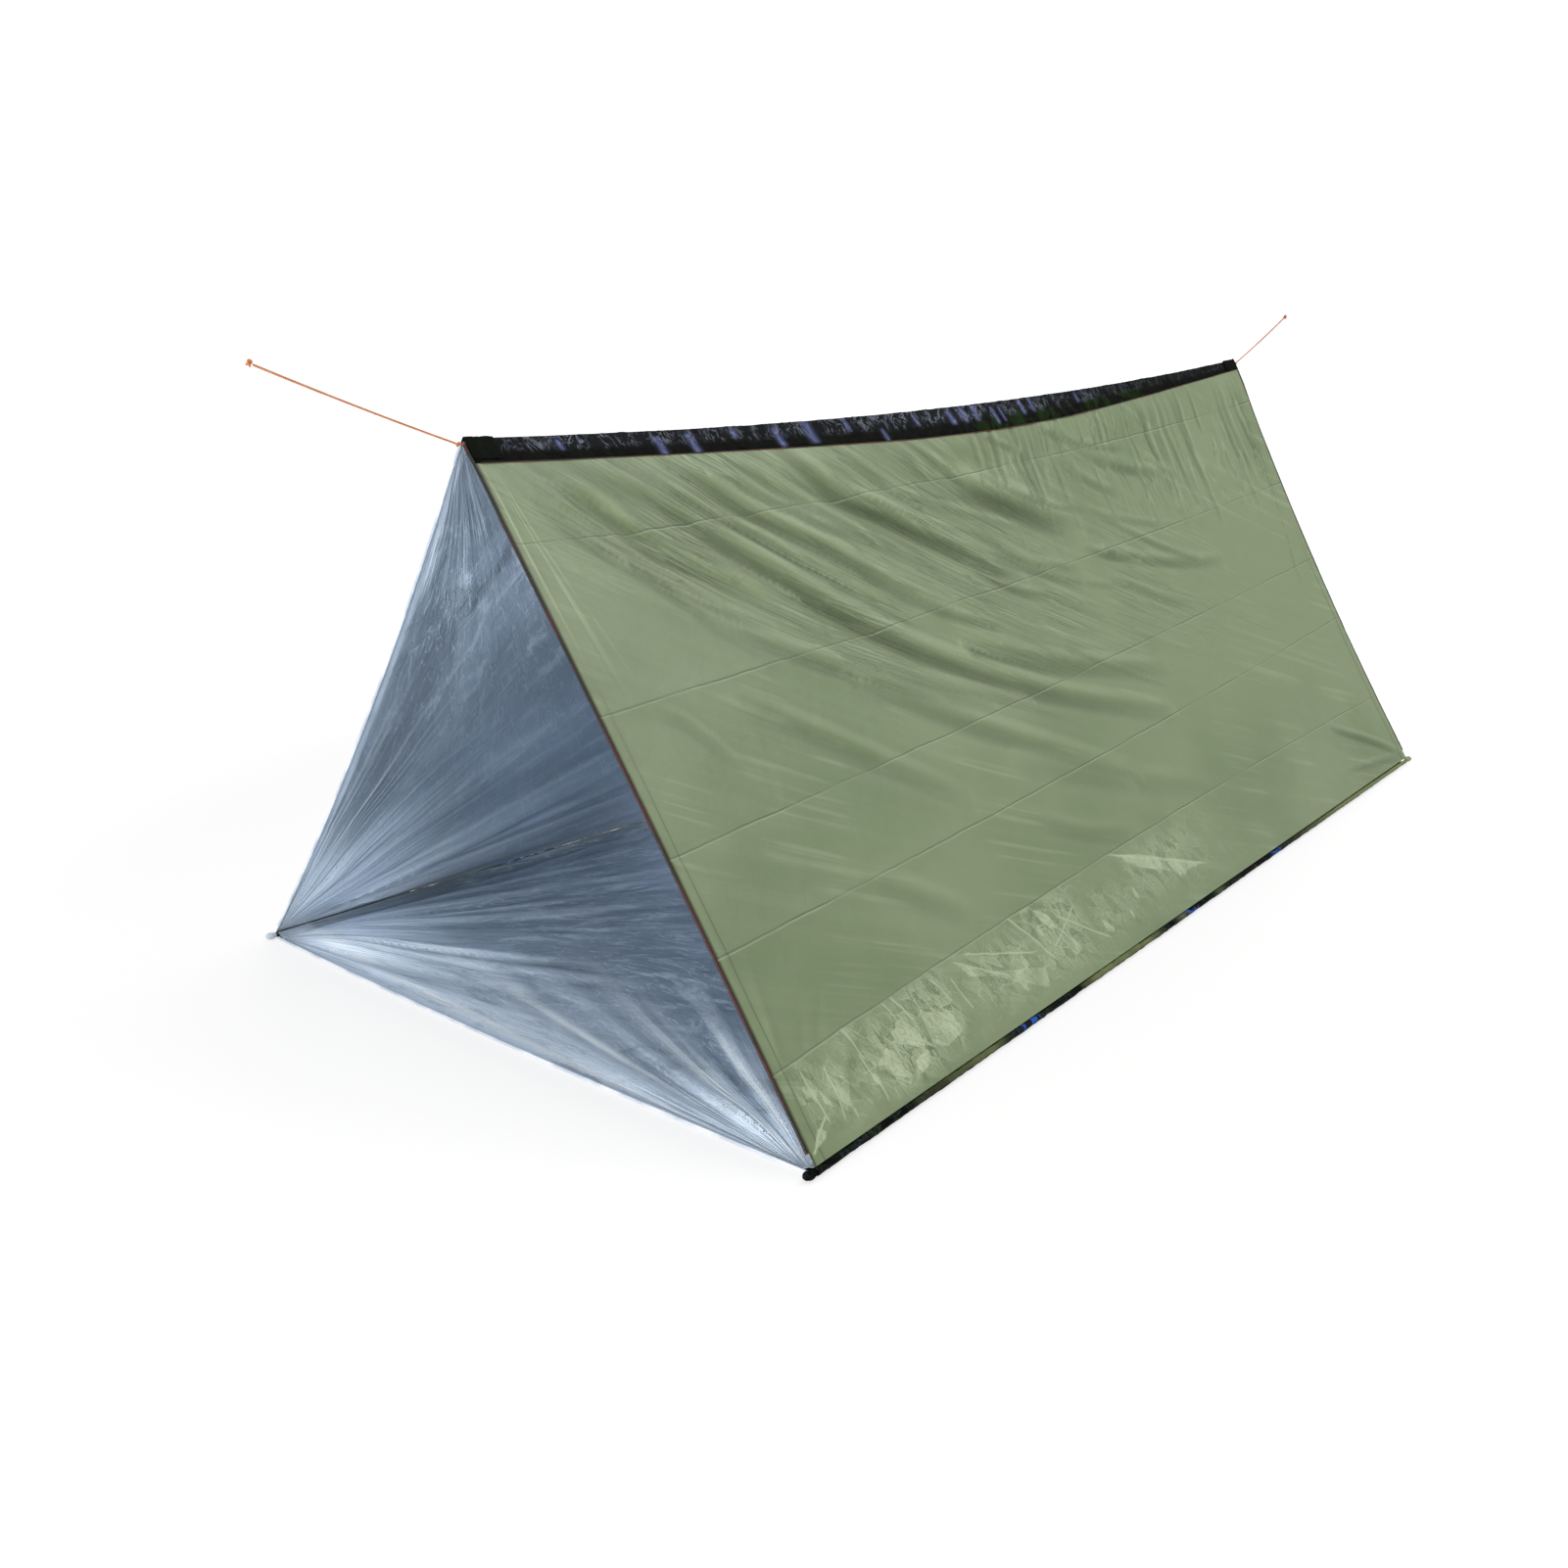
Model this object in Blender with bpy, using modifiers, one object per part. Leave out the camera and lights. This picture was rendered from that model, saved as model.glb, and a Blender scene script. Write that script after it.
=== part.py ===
# Emergency tube tent: an open-ended tube of two-ply film hung over a ridge rope.
# Metres, +Z up. The ridge runs along Y and the front opening faces -Y.
# The origin is on the ground, below the middle of the tent.

import math

import bmesh
import bpy
from mathutils import Vector

# Driving sizes of the pitched tent
TENT_LENGTH = 2.40
FRONT_HALF_WIDTH = 0.725
REAR_HALF_WIDTH = 0.555
RIDGE_END_HEIGHT = 0.935
RIDGE_SAG = 0.035
RIDGE_FRONT_SETBACK = 0.110
GROUND_REAR_SETBACK = 0.092
SLOPE_SAG = 0.034
END_SAG_SHARE = 0.3
END_EDGE_BOW = 0.012

# Film plies
FILM_THICKNESS = 0.0008
FOIL_THICKNESS = 0.0005
BAND_THICKNESS = 0.0008
PLY_GAP = 0.0003
RIDGE_HALF_GAP = 0.0015

# Rope
ROPE_RADIUS = 0.00175
ROPE_CLEARANCE = 0.0004
APEX_KNOT_RADIUS = 0.0045
END_KNOT_RADIUS = 0.0055
KNOT_GAP = 0.0003

# Free rope: how far its end knots are out from and above the knots at the ridge's ends
FRONT_LINE_RUN = 0.3005
FRONT_LINE_RISE = 0.1285
REAR_LINE_RUN = 0.2545
REAR_LINE_RISE = 0.1030
LINE_HANG = 0.002
LINE_POINTS = 24

# Hems, ground seams and corner gathers
HEM_RADIUS = 0.0022
SEAM_RADIUS = 0.006
SEAM_GROUND_GAP = 0.0005
SEAM_OUTSET = 0.002
PIECE_GAP = 0.0003
GATHER_HALF_LENGTH = 0.012
GATHER_HALF_WIDTH = 0.011
GATHER_HALF_HEIGHT = 0.009

# Grids: cells along the tent and down a slope
LENGTH_CELLS = 30
SLOPE_CELLS = 16
FIRST_ROW_SHARE = 0.06

# The front gather's tip and the rear knot's tip are the ends of the tent's length.
FRONT_Y = -TENT_LENGTH / 2
REAR_Y = TENT_LENGTH / 2
GROUND_FRONT_Y = FRONT_Y + 2 * GATHER_HALF_LENGTH + PIECE_GAP
GROUND_REAR_Y = REAR_Y - GROUND_REAR_SETBACK - 2 * GATHER_HALF_LENGTH
RIDGE_FRONT_Y = FRONT_Y + RIDGE_FRONT_SETBACK
KNOT_OFFSET = 2 * HEM_RADIUS + PIECE_GAP + KNOT_GAP + APEX_KNOT_RADIUS
RIDGE_REAR_Y = REAR_Y - KNOT_OFFSET - APEX_KNOT_RADIUS
SLOPE_FOOT_HEIGHT = SEAM_GROUND_GAP + 2 * SEAM_RADIUS + 2 * PIECE_GAP

# Main folds of the near slope, which the rope's pull makes: shares of length and slope, then width and depth
# A fold bends from its first point, past its middle point, to its last point, which is further to the rear.
RIGHT_FOLD_SHARES = (
    ((0.03, 0.02), (0.12, 0.24), (0.30, 0.40)),
    ((0.06, 0.02), (0.26, 0.36), (0.64, 0.70)),
    ((0.13, 0.02), (0.27, 0.22), (0.42, 0.42)),
    ((0.24, 0.02), (0.36, 0.20), (0.52, 0.38)),
    ((0.44, 0.06), (0.50, 0.16), (0.62, 0.27)),
    ((0.86, 0.80), (0.93, 0.88), (1.00, 1.00)),
)
# The far slope fans out from its front ground corner and from the front of the ridge.
LEFT_FOLD_SHARES = (
    ((0.00, 1.00), (0.16, 0.86), (0.42, 0.78)),
    ((0.00, 1.00), (0.10, 0.74), (0.26, 0.52)),
    ((0.02, 0.02), (0.10, 0.24), (0.30, 0.44)),
    ((0.10, 0.02), (0.26, 0.22), (0.48, 0.40)),
    ((0.02, 0.02), (0.05, 0.34), (0.12, 0.62)),
    ((0.70, 0.72), (0.88, 0.84), (1.00, 1.00)),
)
FOLD_WIDTH = 0.055
FOLD_DEPTH = 0.008
FOLD_LIP_SHARE = 0.55
FOLD_LIP_PLACE_SHARE = 1.5
FOLD_END_SHARES = (0.08, 0.98)
FOLD_STEPS = 12
FOLD_FADE = 0.09

# Folds of the floor's foil, which fan out from its front corners: shares of half width and of length
FLOOR_FOLD_SHARES = (
    ((-1.0, 0.0), (-0.55, 0.10), (0.10, 0.16)),
    ((-1.0, 0.0), (-0.60, 0.24), (-0.10, 0.42)),
    ((-1.0, 0.0), (-0.72, 0.42), (-0.45, 0.80)),
    ((1.0, 0.0), (0.55, 0.16), (0.00, 0.30)),
    ((1.0, 0.0), (0.68, 0.34), (0.40, 0.66)),
)
FLOOR_FOLD_WIDTH = 0.085
FLOOR_FOLD_HEIGHT = 0.010
FLOOR_CELLS_ACROSS = 12
FLOOR_CELLS_ALONG = 10
FLOOR_INSET = 0.0006
FLOOR_FOIL_INSET = 0.0032
FLOOR_EDGE_POINTS = 9

# Half width of the ridge band down each slope, at evenly spaced stations from front to rear
BAND_WIDTHS = (0.042, 0.043, 0.046, 0.052, 0.058, 0.060, 0.054, 0.044, 0.034, 0.024)
PATCH_LENGTH = 0.052
PATCH_WIDTH = 0.034


def material(name, colour, roughness, metallic):
    """A Principled material of one colour."""
    made = bpy.data.materials.new(name)
    made.use_nodes = True
    shader = made.node_tree.nodes["Principled BSDF"]
    shader.inputs["Base Color"].default_value = (*colour, 1)
    shader.inputs["Roughness"].default_value = roughness
    shader.inputs["Metallic"].default_value = metallic
    made.diffuse_color = (*colour, 1)
    return made


def finish(piece, look, parent=None):
    """Gives a piece its material and its place in the tent's collection."""
    for owner in list(piece.users_collection):
        owner.objects.unlink(piece)
    TENT.objects.link(piece)
    piece.data.materials.append(look)
    if parent:
        piece.parent = parent
        piece.matrix_parent_inverse = parent.matrix_world.inverted()
    return piece


def fade(distance):
    """Rises smoothly from 0 at an edge to 1 inside it."""
    share = min(max(distance / FOLD_FADE, 0), 1)
    return share * share * (3 - 2 * share)


def between(low, high, share):
    return low * (1 - share) + high * share


def ridge_point(along):
    sag = RIDGE_SAG * 4 * along * (1 - along)
    return Vector((0, between(RIDGE_FRONT_Y, RIDGE_REAR_Y, along), RIDGE_END_HEIGHT - sag))


def half_width(along):
    return between(FRONT_HALF_WIDTH, REAR_HALF_WIDTH, along)


def foot_point(along, side):
    """Where a slope's film ends, just above its ground seam."""
    y = between(GROUND_FRONT_Y, GROUND_REAR_Y, along)
    return Vector((side * half_width(along), y, SLOPE_FOOT_HEIGHT))


def flat_point(along, down, side):
    """A point of the slope before it sags: straight lines from the ridge to the ground."""
    ridge = ridge_point(along)
    ridge.x = side * RIDGE_HALF_GAP
    point = ridge.lerp(foot_point(along, side), down)
    point.y += END_EDGE_BOW * 4 * down * (1 - down) * (1 - 2 * along)
    return point


def outward(along, side):
    """The slope's own direction away from the inside, at this station of its length."""
    down = foot_point(along, side) - ridge_point(along)
    normal = Vector((0, side, 0)).cross(down)
    normal.normalize()
    return normal if normal.z > 0 else -normal


def fold_curve(shares, width, length):
    """Points of one fold line, in metres across and along a flat sheet."""
    first, middle, last = (Vector((a * width, b * length)) for a, b in shares)
    steps = [index / FOLD_STEPS for index in range(FOLD_STEPS + 1)]
    return [first * (1 - t) ** 2 + middle * 2 * t * (1 - t) + last * t * t for t in steps]


def signed_distance(point, curve):
    """Distance to a fold line, positive on its ridge side, and the share of it passed there."""
    middles = [(start + end) / 2 for start, end in zip(curve, curve[1:])]
    nearest = min(range(len(middles)), key=lambda index: (point - middles[index]).length)
    run = curve[nearest + 1] - curve[nearest]
    away = point - curve[nearest]
    share = min(max(away.dot(run) / run.length_squared, 0), 1)
    gap = away - run * share
    sign = 1 if run.cross(away) < 0 else -1
    return sign * gap.length, (nearest + share) / (len(curve) - 1)


def fold_shape(point, curve, width, depth):
    """A valley along the fold line, with a smaller lip on its ridge side."""
    distance, passed = signed_distance(point, curve)
    strength = math.sin(math.pi * between(*FOLD_END_SHARES, passed))
    valley = math.exp(-((distance / width) ** 2))
    lip = math.exp(-((distance / width - FOLD_LIP_PLACE_SHARE) ** 2))
    return -depth * strength * (valley - FOLD_LIP_SHARE * lip)


def slope_folds(side):
    length = RIDGE_REAR_Y - RIDGE_FRONT_Y
    slope = ridge_point(0.5).z
    shares = RIGHT_FOLD_SHARES if side > 0 else LEFT_FOLD_SHARES
    return [fold_curve(fold, length, slope) for fold in shares]


def slope_relief(along, down, folds):
    """How far the film lies inside (minus) or outside (plus) the straight slope."""
    if down <= FIRST_ROW_SHARE:
        return 0
    length = RIDGE_REAR_Y - RIDGE_FRONT_Y
    slope = ridge_point(0.5).z
    tight = between(END_SAG_SHARE, 1, 4 * along * (1 - along))
    relief = -SLOPE_SAG * 4 * down * (1 - down) * tight
    edge = min(along * length, (1 - along) * length, (down - FIRST_ROW_SHARE) * slope, (1 - down) * slope)
    place = Vector((along * length, down * slope))
    return relief + fade(edge) * sum(fold_shape(place, fold, FOLD_WIDTH, FOLD_DEPTH) for fold in folds)


def slope_point(along, down, side, folds, offset):
    """A point of a ply that lies this far outside the film's own middle surface."""
    normal = outward(along, side)
    return flat_point(along, down, side) + normal * (slope_relief(along, down, folds) + offset)


def row_share(row):
    """Rows down a slope: the first one ends under the ridge band, the rest are even."""
    first = 1 / SLOPE_CELLS
    if row <= first:
        return FIRST_ROW_SHARE * row / first
    return between(FIRST_ROW_SHARE, 1, (row - first) / (1 - first))


def sheet(name, cells, place, thickness, look):
    """A grid laid through a function of its two shares, and thickened into a closed film."""
    mesh = bpy.data.meshes.new(name)
    grid = bmesh.new()
    bmesh.ops.create_grid(grid, x_segments=cells[0], y_segments=cells[1], size=0.5)
    for vertex in grid.verts:
        vertex.co = place(vertex.co.x + 0.5, vertex.co.y + 0.5)
    grid.to_mesh(mesh)
    grid.free()
    mesh.shade_smooth()
    piece = bpy.data.objects.new(name, mesh)
    wall = piece.modifiers.new("thickness", "SOLIDIFY")
    wall.thickness = thickness
    wall.offset = 0
    return finish(piece, look)


def slope_ply(name, side, offset, thickness, look):
    folds = slope_folds(side)

    def place(along, row):
        return slope_point(along, row_share(row), side, folds, offset)

    return sheet(name, (LENGTH_CELLS, SLOPE_CELLS), place, thickness, look)


def band_width(along):
    """Half width of the ridge band here, between its two nearest stations."""
    station = along * (len(BAND_WIDTHS) - 1)
    low = min(int(station), len(BAND_WIDTHS) - 2)
    return between(BAND_WIDTHS[low], BAND_WIDTHS[low + 1], station - low)


def saddle(name, start, end, cells, width_at, offset, thickness, look):
    """A strip folded over the ridge, from one share of its length to another."""

    def place(share, row):
        along = between(start, end, share)
        across = 2 * row - 1
        side = 1 if across > 0 else -1
        normal = outward(along, side)
        if abs(across) < 1 / cells[1]:
            rise = (offset + RIDGE_HALF_GAP * abs(normal.x)) / normal.z
            return ridge_point(along) + Vector((0, 0, rise))
        slope = (foot_point(along, side) - ridge_point(along)).length
        return flat_point(along, abs(across) * width_at(along) / slope, side) + normal * offset

    return sheet(name, cells, place, thickness, look)


def tube(name, points, radius, look, parent=None):
    """A round tube through points, with closed ends."""
    curve = bpy.data.curves.new(name, "CURVE")
    curve.dimensions = "3D"
    curve.bevel_depth = radius
    curve.bevel_resolution = 2
    curve.use_fill_caps = True
    spline = curve.splines.new("POLY")
    spline.points.add(len(points) - 1)
    for spot, point in zip(spline.points, points):
        spot.co = (*point, 1)
    return finish(bpy.data.objects.new(name, curve), look, parent)


def ball(name, centre, radii, look, parent=None):
    """A rounded lump, such as a knot or a gathered corner."""
    mesh = bpy.data.meshes.new(name)
    lump = bmesh.new()
    bmesh.ops.create_uvsphere(lump, u_segments=16, v_segments=10, radius=1)
    for vertex in lump.verts:
        vertex.co = Vector(a * b for a, b in zip(vertex.co, radii))
    lump.to_mesh(mesh)
    lump.free()
    mesh.shade_smooth()
    piece = bpy.data.objects.new(name, mesh)
    piece.location = centre
    bpy.context.view_layer.update()
    return finish(piece, look, parent)


def end_hem(name, along, side, look):
    """The rolled hem on a slope's end edge, just outside the plies' cut ends."""
    folds = slope_folds(side)
    away = Vector((0, -1 if along == 0 else 1, 0)) * (HEM_RADIUS + PIECE_GAP)
    middle = -(PLY_GAP + FOIL_THICKNESS) / 2
    slope = (foot_point(along, side) - ridge_point(along)).length
    top = (2 * HEM_RADIUS + ROPE_RADIUS) / slope
    foot = 1 - (2 * GATHER_HALF_HEIGHT + HEM_RADIUS) / slope
    shares = [between(top, foot, index / SLOPE_CELLS) for index in range(SLOPE_CELLS + 1)]
    points = [slope_point(along, down, side, folds, middle) + away for down in shares]
    return tube(name, points, HEM_RADIUS, look)


def floor_edge(across, along):
    """A point of the floor's outline, whose ends bow outwards a little."""
    y = between(GROUND_FRONT_Y, GROUND_REAR_Y, along)
    bow = END_EDGE_BOW * (1 - across * across) * (2 * along - 1)
    return Vector((across * half_width(along), y + bow, 0))


def floor_hem(name, along, look):
    end = half_width(along) - GATHER_HALF_WIDTH - PIECE_GAP
    away = Vector((0, -1 if along == 0 else 1, 0)) * (HEM_RADIUS + PIECE_GAP)
    lift = Vector((0, 0, HEM_RADIUS + PIECE_GAP))
    span = end / half_width(along)
    shares = [between(-span, span, index / (FLOOR_EDGE_POINTS - 1)) for index in range(FLOOR_EDGE_POINTS)]
    return tube(name, [floor_edge(across, along) + away + lift for across in shares], HEM_RADIUS, look)


def floor_film(look):
    """The black ground film, flat on the ground between the two ground seams."""

    def place(row, along):
        across = 2 * row - 1
        point = floor_edge(across, along)
        point.x = across * (half_width(along) - FLOOR_INSET)
        point.z = FILM_THICKNESS / 2
        return point

    return sheet("floor_film", (FLOOR_EDGE_POINTS - 1, 1), place, FILM_THICKNESS, look)


def floor_foil(look):
    """The silver face of the floor, with folds that fan out from its front corners."""
    length = GROUND_REAR_Y - GROUND_FRONT_Y
    folds = [fold_curve(fold, FRONT_HALF_WIDTH, length) for fold in FLOOR_FOLD_SHARES]

    def place(row, along):
        across = 2 * row - 1
        point = floor_edge(across, along)
        point.x = across * (half_width(along) - FLOOR_FOIL_INSET)
        spot = Vector((across * FRONT_HALF_WIDTH, along * length))
        edge = min((1 - abs(across)) * half_width(along), along * length, (1 - along) * length)
        ridges = sum(math.exp(-((signed_distance(spot, fold)[0] / FLOOR_FOLD_WIDTH) ** 2)) for fold in folds)
        point.z = FILM_THICKNESS + PLY_GAP + FOIL_THICKNESS / 2 + fade(edge) * FLOOR_FOLD_HEIGHT * ridges
        return point

    return sheet("floor_foil", (FLOOR_CELLS_ACROSS, FLOOR_CELLS_ALONG), place, FOIL_THICKNESS, look)


def ground_seam(name, side, look):
    """The rolled seam where a slope's film joins the black ground film."""
    lift = Vector((side * SEAM_OUTSET, 0, SEAM_GROUND_GAP + SEAM_RADIUS))
    ends = [floor_edge(side, along) + lift for along in (0, 1)]
    middle = (ends[0] + ends[1]) / 2
    return tube(name, [ends[0], middle, ends[1]], SEAM_RADIUS, look)


def corner_gather(name, along, side, look):
    """The black film gathered at a ground corner, past the end of its seam."""
    away = (GATHER_HALF_LENGTH + PIECE_GAP) * (-1 if along == 0 else 1)
    offset = Vector((side * SEAM_OUTSET, away, GATHER_HALF_HEIGHT + SEAM_GROUND_GAP))
    centre = floor_edge(side, along) + offset
    return ball(name, centre, (GATHER_HALF_WIDTH, GATHER_HALF_LENGTH, GATHER_HALF_HEIGHT), look)


def rope_centre(along):
    """The rope's middle, where it lies up against both foils under the ridge."""
    normal = outward(along, 1)
    inner = FILM_THICKNESS / 2 + PLY_GAP + FOIL_THICKNESS
    drop = (inner + ROPE_CLEARANCE + ROPE_RADIUS - RIDGE_HALF_GAP * normal.x) / normal.z
    return ridge_point(along) - Vector((0, 0, drop))


def ridge_rope(look, parent):
    ends = [apex_knot_centre(along) for along in (0, 1)]
    inset = Vector((0, APEX_KNOT_RADIUS + KNOT_GAP, 0))
    points = [rope_centre(index / LENGTH_CELLS) for index in range(LENGTH_CELLS + 1)]
    points = [ends[0] + inset] + points + [ends[1] - inset]
    return tube("ridge_rope", points, ROPE_RADIUS, look, parent)


def apex_knot_centre(along):
    """The knots sit just outside the hems at the two ends of the ridge."""
    away = KNOT_OFFSET * (-1 if along == 0 else 1)
    return rope_centre(along) + Vector((0, away, 0))


def line_points(start, end):
    """The free rope from a ridge end to its end knot, drawn tight, with a slight hang."""
    run = end - start
    way = run.normalized()
    first = start + way * (APEX_KNOT_RADIUS + KNOT_GAP)
    last = end - way * (END_KNOT_RADIUS + KNOT_GAP)
    steps = [index / (LINE_POINTS - 1) for index in range(LINE_POINTS)]
    return [first.lerp(last, t) - Vector((0, 0, LINE_HANG * 4 * t * (1 - t))) for t in steps]


def rope_pieces(look, knot_look):
    """The rope in the ridge, its knots, and the free rope on a hinge at each end."""
    ridge_frame = bpy.data.objects.new("ridge_drop_frame", None)
    ridge_frame.location = rope_centre(0.5)
    TENT.objects.link(ridge_frame)
    bpy.context.view_layer.update()
    ridge_rope(look, ridge_frame)
    ends = (("front", 0, -FRONT_LINE_RUN, FRONT_LINE_RISE), ("rear", 1, REAR_LINE_RUN, REAR_LINE_RISE))
    for end_name, along, run, rise in ends:
        pivot = apex_knot_centre(along)
        knot_place = pivot + Vector((0, run, rise))
        radii = [APEX_KNOT_RADIUS] * 3
        ball(f"{end_name}_apex_knot", pivot, radii, knot_look, ridge_frame)
        swing = bpy.data.objects.new(f"{end_name}_line_pivot", None)
        swing.location = pivot
        swing.parent = ridge_frame
        swing.matrix_parent_inverse = ridge_frame.matrix_world.inverted()
        TENT.objects.link(swing)
        bpy.context.view_layer.update()
        tube(f"{end_name}_line", line_points(pivot, knot_place), ROPE_RADIUS, look, swing)
        ball(f"{end_name}_end_knot", knot_place, [END_KNOT_RADIUS] * 3, knot_look, swing)


def film_pieces(green, black, silver, dark):
    foil_offset = -(FILM_THICKNESS / 2 + PLY_GAP + FOIL_THICKNESS / 2)
    band_offset = FILM_THICKNESS / 2 + PLY_GAP + BAND_THICKNESS / 2
    patch_offset = band_offset + BAND_THICKNESS + PLY_GAP
    for side_name, side in (("right", 1), ("left", -1)):
        slope_ply(f"{side_name}_slope_film", side, 0, FILM_THICKNESS, green)
        slope_ply(f"{side_name}_slope_foil", side, foil_offset, FOIL_THICKNESS, silver)
        ground_seam(f"{side_name}_ground_seam", side, black)
        # The far side's front edge shows the foil's turned face, and the rear corners show the green film.
        hem_looks = (dark if side > 0 else silver, dark)
        gather_looks = (black if side > 0 else silver, green)
        for end_name, along in (("front", 0), ("rear", 1)):
            end_hem(f"{end_name}_hem_{side_name}", along, side, hem_looks[along])
            corner_gather(f"{end_name}_{side_name}_corner", along, side, gather_looks[along])
    floor_film(black)
    floor_foil(silver)
    floor_hem("front_hem_floor", 0, silver)
    floor_hem("rear_hem_floor", 1, silver)
    saddle("ridge_band", 0, 1, (LENGTH_CELLS, 4), band_width, band_offset, BAND_THICKNESS, black)
    length = RIDGE_REAR_Y - RIDGE_FRONT_Y
    share = PATCH_LENGTH / length
    for end_name, start, end in (("front", 0, share), ("rear", 1 - share, 1)):
        saddle(
            f"{end_name}_ridge_patch",
            start,
            end,
            (2, 4),
            lambda along: PATCH_WIDTH if along < 0.5 else band_width(along),
            patch_offset,
            BAND_THICKNESS,
            black,
        )


for thing in list(bpy.data.objects):
    bpy.data.objects.remove(thing)
TENT = bpy.data.collections.new("emergency_tube_tent")
bpy.context.scene.collection.children.link(TENT)

GREEN = material("olive_green_film", (0.25, 0.32, 0.18), 0.38, 0)
BLACK = material("gloss_black_film", (0.012, 0.012, 0.014), 0.2, 0)
SILVER = material("silver_foil", (0.42, 0.48, 0.56), 0.25, 0.9)
DARK = material("dark_hem", (0.04, 0.03, 0.02), 0.45, 0)
ORANGE = material("orange_rope", (0.72, 0.28, 0.08), 0.75, 0)
KNOT = material("orange_knot", (0.62, 0.2, 0.06), 0.75, 0)

film_pieces(GREEN, BLACK, SILVER, DARK)
rope_pieces(ORANGE, KNOT)
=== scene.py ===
# Emergency tube tent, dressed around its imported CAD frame.
# Metres, +Z up. The ridge runs along Y and the front opening faces -Y.
import math

import bpy
import numpy as np
from mathutils import Matrix, Vector


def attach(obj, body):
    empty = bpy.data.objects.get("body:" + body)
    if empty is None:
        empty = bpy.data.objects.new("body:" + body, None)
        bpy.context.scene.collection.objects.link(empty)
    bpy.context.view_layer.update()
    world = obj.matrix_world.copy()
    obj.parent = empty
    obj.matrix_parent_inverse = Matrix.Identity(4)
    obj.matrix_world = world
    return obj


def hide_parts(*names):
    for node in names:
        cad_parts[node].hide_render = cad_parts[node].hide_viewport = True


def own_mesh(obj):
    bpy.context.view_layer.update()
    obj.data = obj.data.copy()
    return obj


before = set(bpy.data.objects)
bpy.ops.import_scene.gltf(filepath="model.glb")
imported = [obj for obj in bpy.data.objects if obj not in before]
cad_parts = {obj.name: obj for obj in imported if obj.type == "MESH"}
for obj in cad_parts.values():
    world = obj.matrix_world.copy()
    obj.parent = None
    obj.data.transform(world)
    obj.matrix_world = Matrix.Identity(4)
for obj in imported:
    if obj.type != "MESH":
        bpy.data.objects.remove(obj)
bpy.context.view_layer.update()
print("frame loaded")

# The pitched tent's own sizes, as the CAD has them
tent = {
    "halfWidth": (0.725, 0.555),
    "groundEnds": (-1.1757, 1.084),
    "ridgeEnds": (-1.09, 1.186),
    "ridgeHeight": 0.935,
    "ridgeSag": 0.035,
    "ridgeHalfGap": 0.0015,
    "footHeight": 0.0131,
    "slopeSag": 0.034,
    "endSagShare": 0.3,
    "endBow": 0.012,
    "slopeLength": 1.12,
    "drop": 0.8,
}
ridgeLength = tent["ridgeEnds"][1] - tent["ridgeEnds"][0]
slopeLength = tent["slopeLength"]
ends = ((0, "front"), (1, "rear"))
sides = ((1, "right"), (-1, "left"))


def mix(low, high, share):
    return low + (high - low) * share


def smooth(low, high, value):
    share = np.clip((value - low) / (high - low), 0, 1)
    return share * share * (3 - 2 * share)


def bell(gap, width=1.0):
    return np.exp(-((gap / width) ** 2))


def gridOf(first, second):
    return np.meshgrid(first, second, indexing="ij")


def pairs(numbers, parts):
    # a flat list of whole numbers as points; parts is how many of them make one
    return np.array(numbers).reshape(-1, 2) / parts


def newObject(name, data):
    made = bpy.data.objects.new(name, data)
    bpy.context.scene.collection.objects.link(made)
    return made


# The photograph's viewpoint, solved on the tent's five visible corners
cameraFacts = {
    "place": (1.998, -2.418, 1.066),
    "azimuth": -42.98,
    "lookDown": 19.41,
    "roll": -3.0,
    "lens": 34.89,
    "sensor": 36,
    "shift": (-0.05, 0.05),
    "clip": (0.05, 80),
}


def makeCamera(facts):
    turn, tilt, roll = (math.radians(facts[key]) for key in ("azimuth", "lookDown", "roll"))
    look = Vector((math.sin(turn) * math.cos(tilt), math.cos(turn) * math.cos(tilt), -math.sin(tilt)))
    right = Vector((math.cos(turn), -math.sin(turn), 0))
    up = right.cross(look)
    rightRolled = right * math.cos(roll) + up * math.sin(roll)
    upRolled = up * math.cos(roll) - right * math.sin(roll)
    lens = bpy.data.cameras.new("photoCamera")
    lens.sensor_width, lens.lens = facts["sensor"], facts["lens"]
    lens.shift_x, lens.shift_y = facts["shift"]
    lens.clip_start, lens.clip_end = facts["clip"]
    camera = newObject("photoCamera", lens)
    turned = Matrix((rightRolled, upRolled, -look)).transposed().to_4x4()
    camera.matrix_world = Matrix.Translation(facts["place"]) @ turned
    bpy.context.scene.camera = camera


makeCamera(cameraFacts)
print("camera placed")


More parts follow.
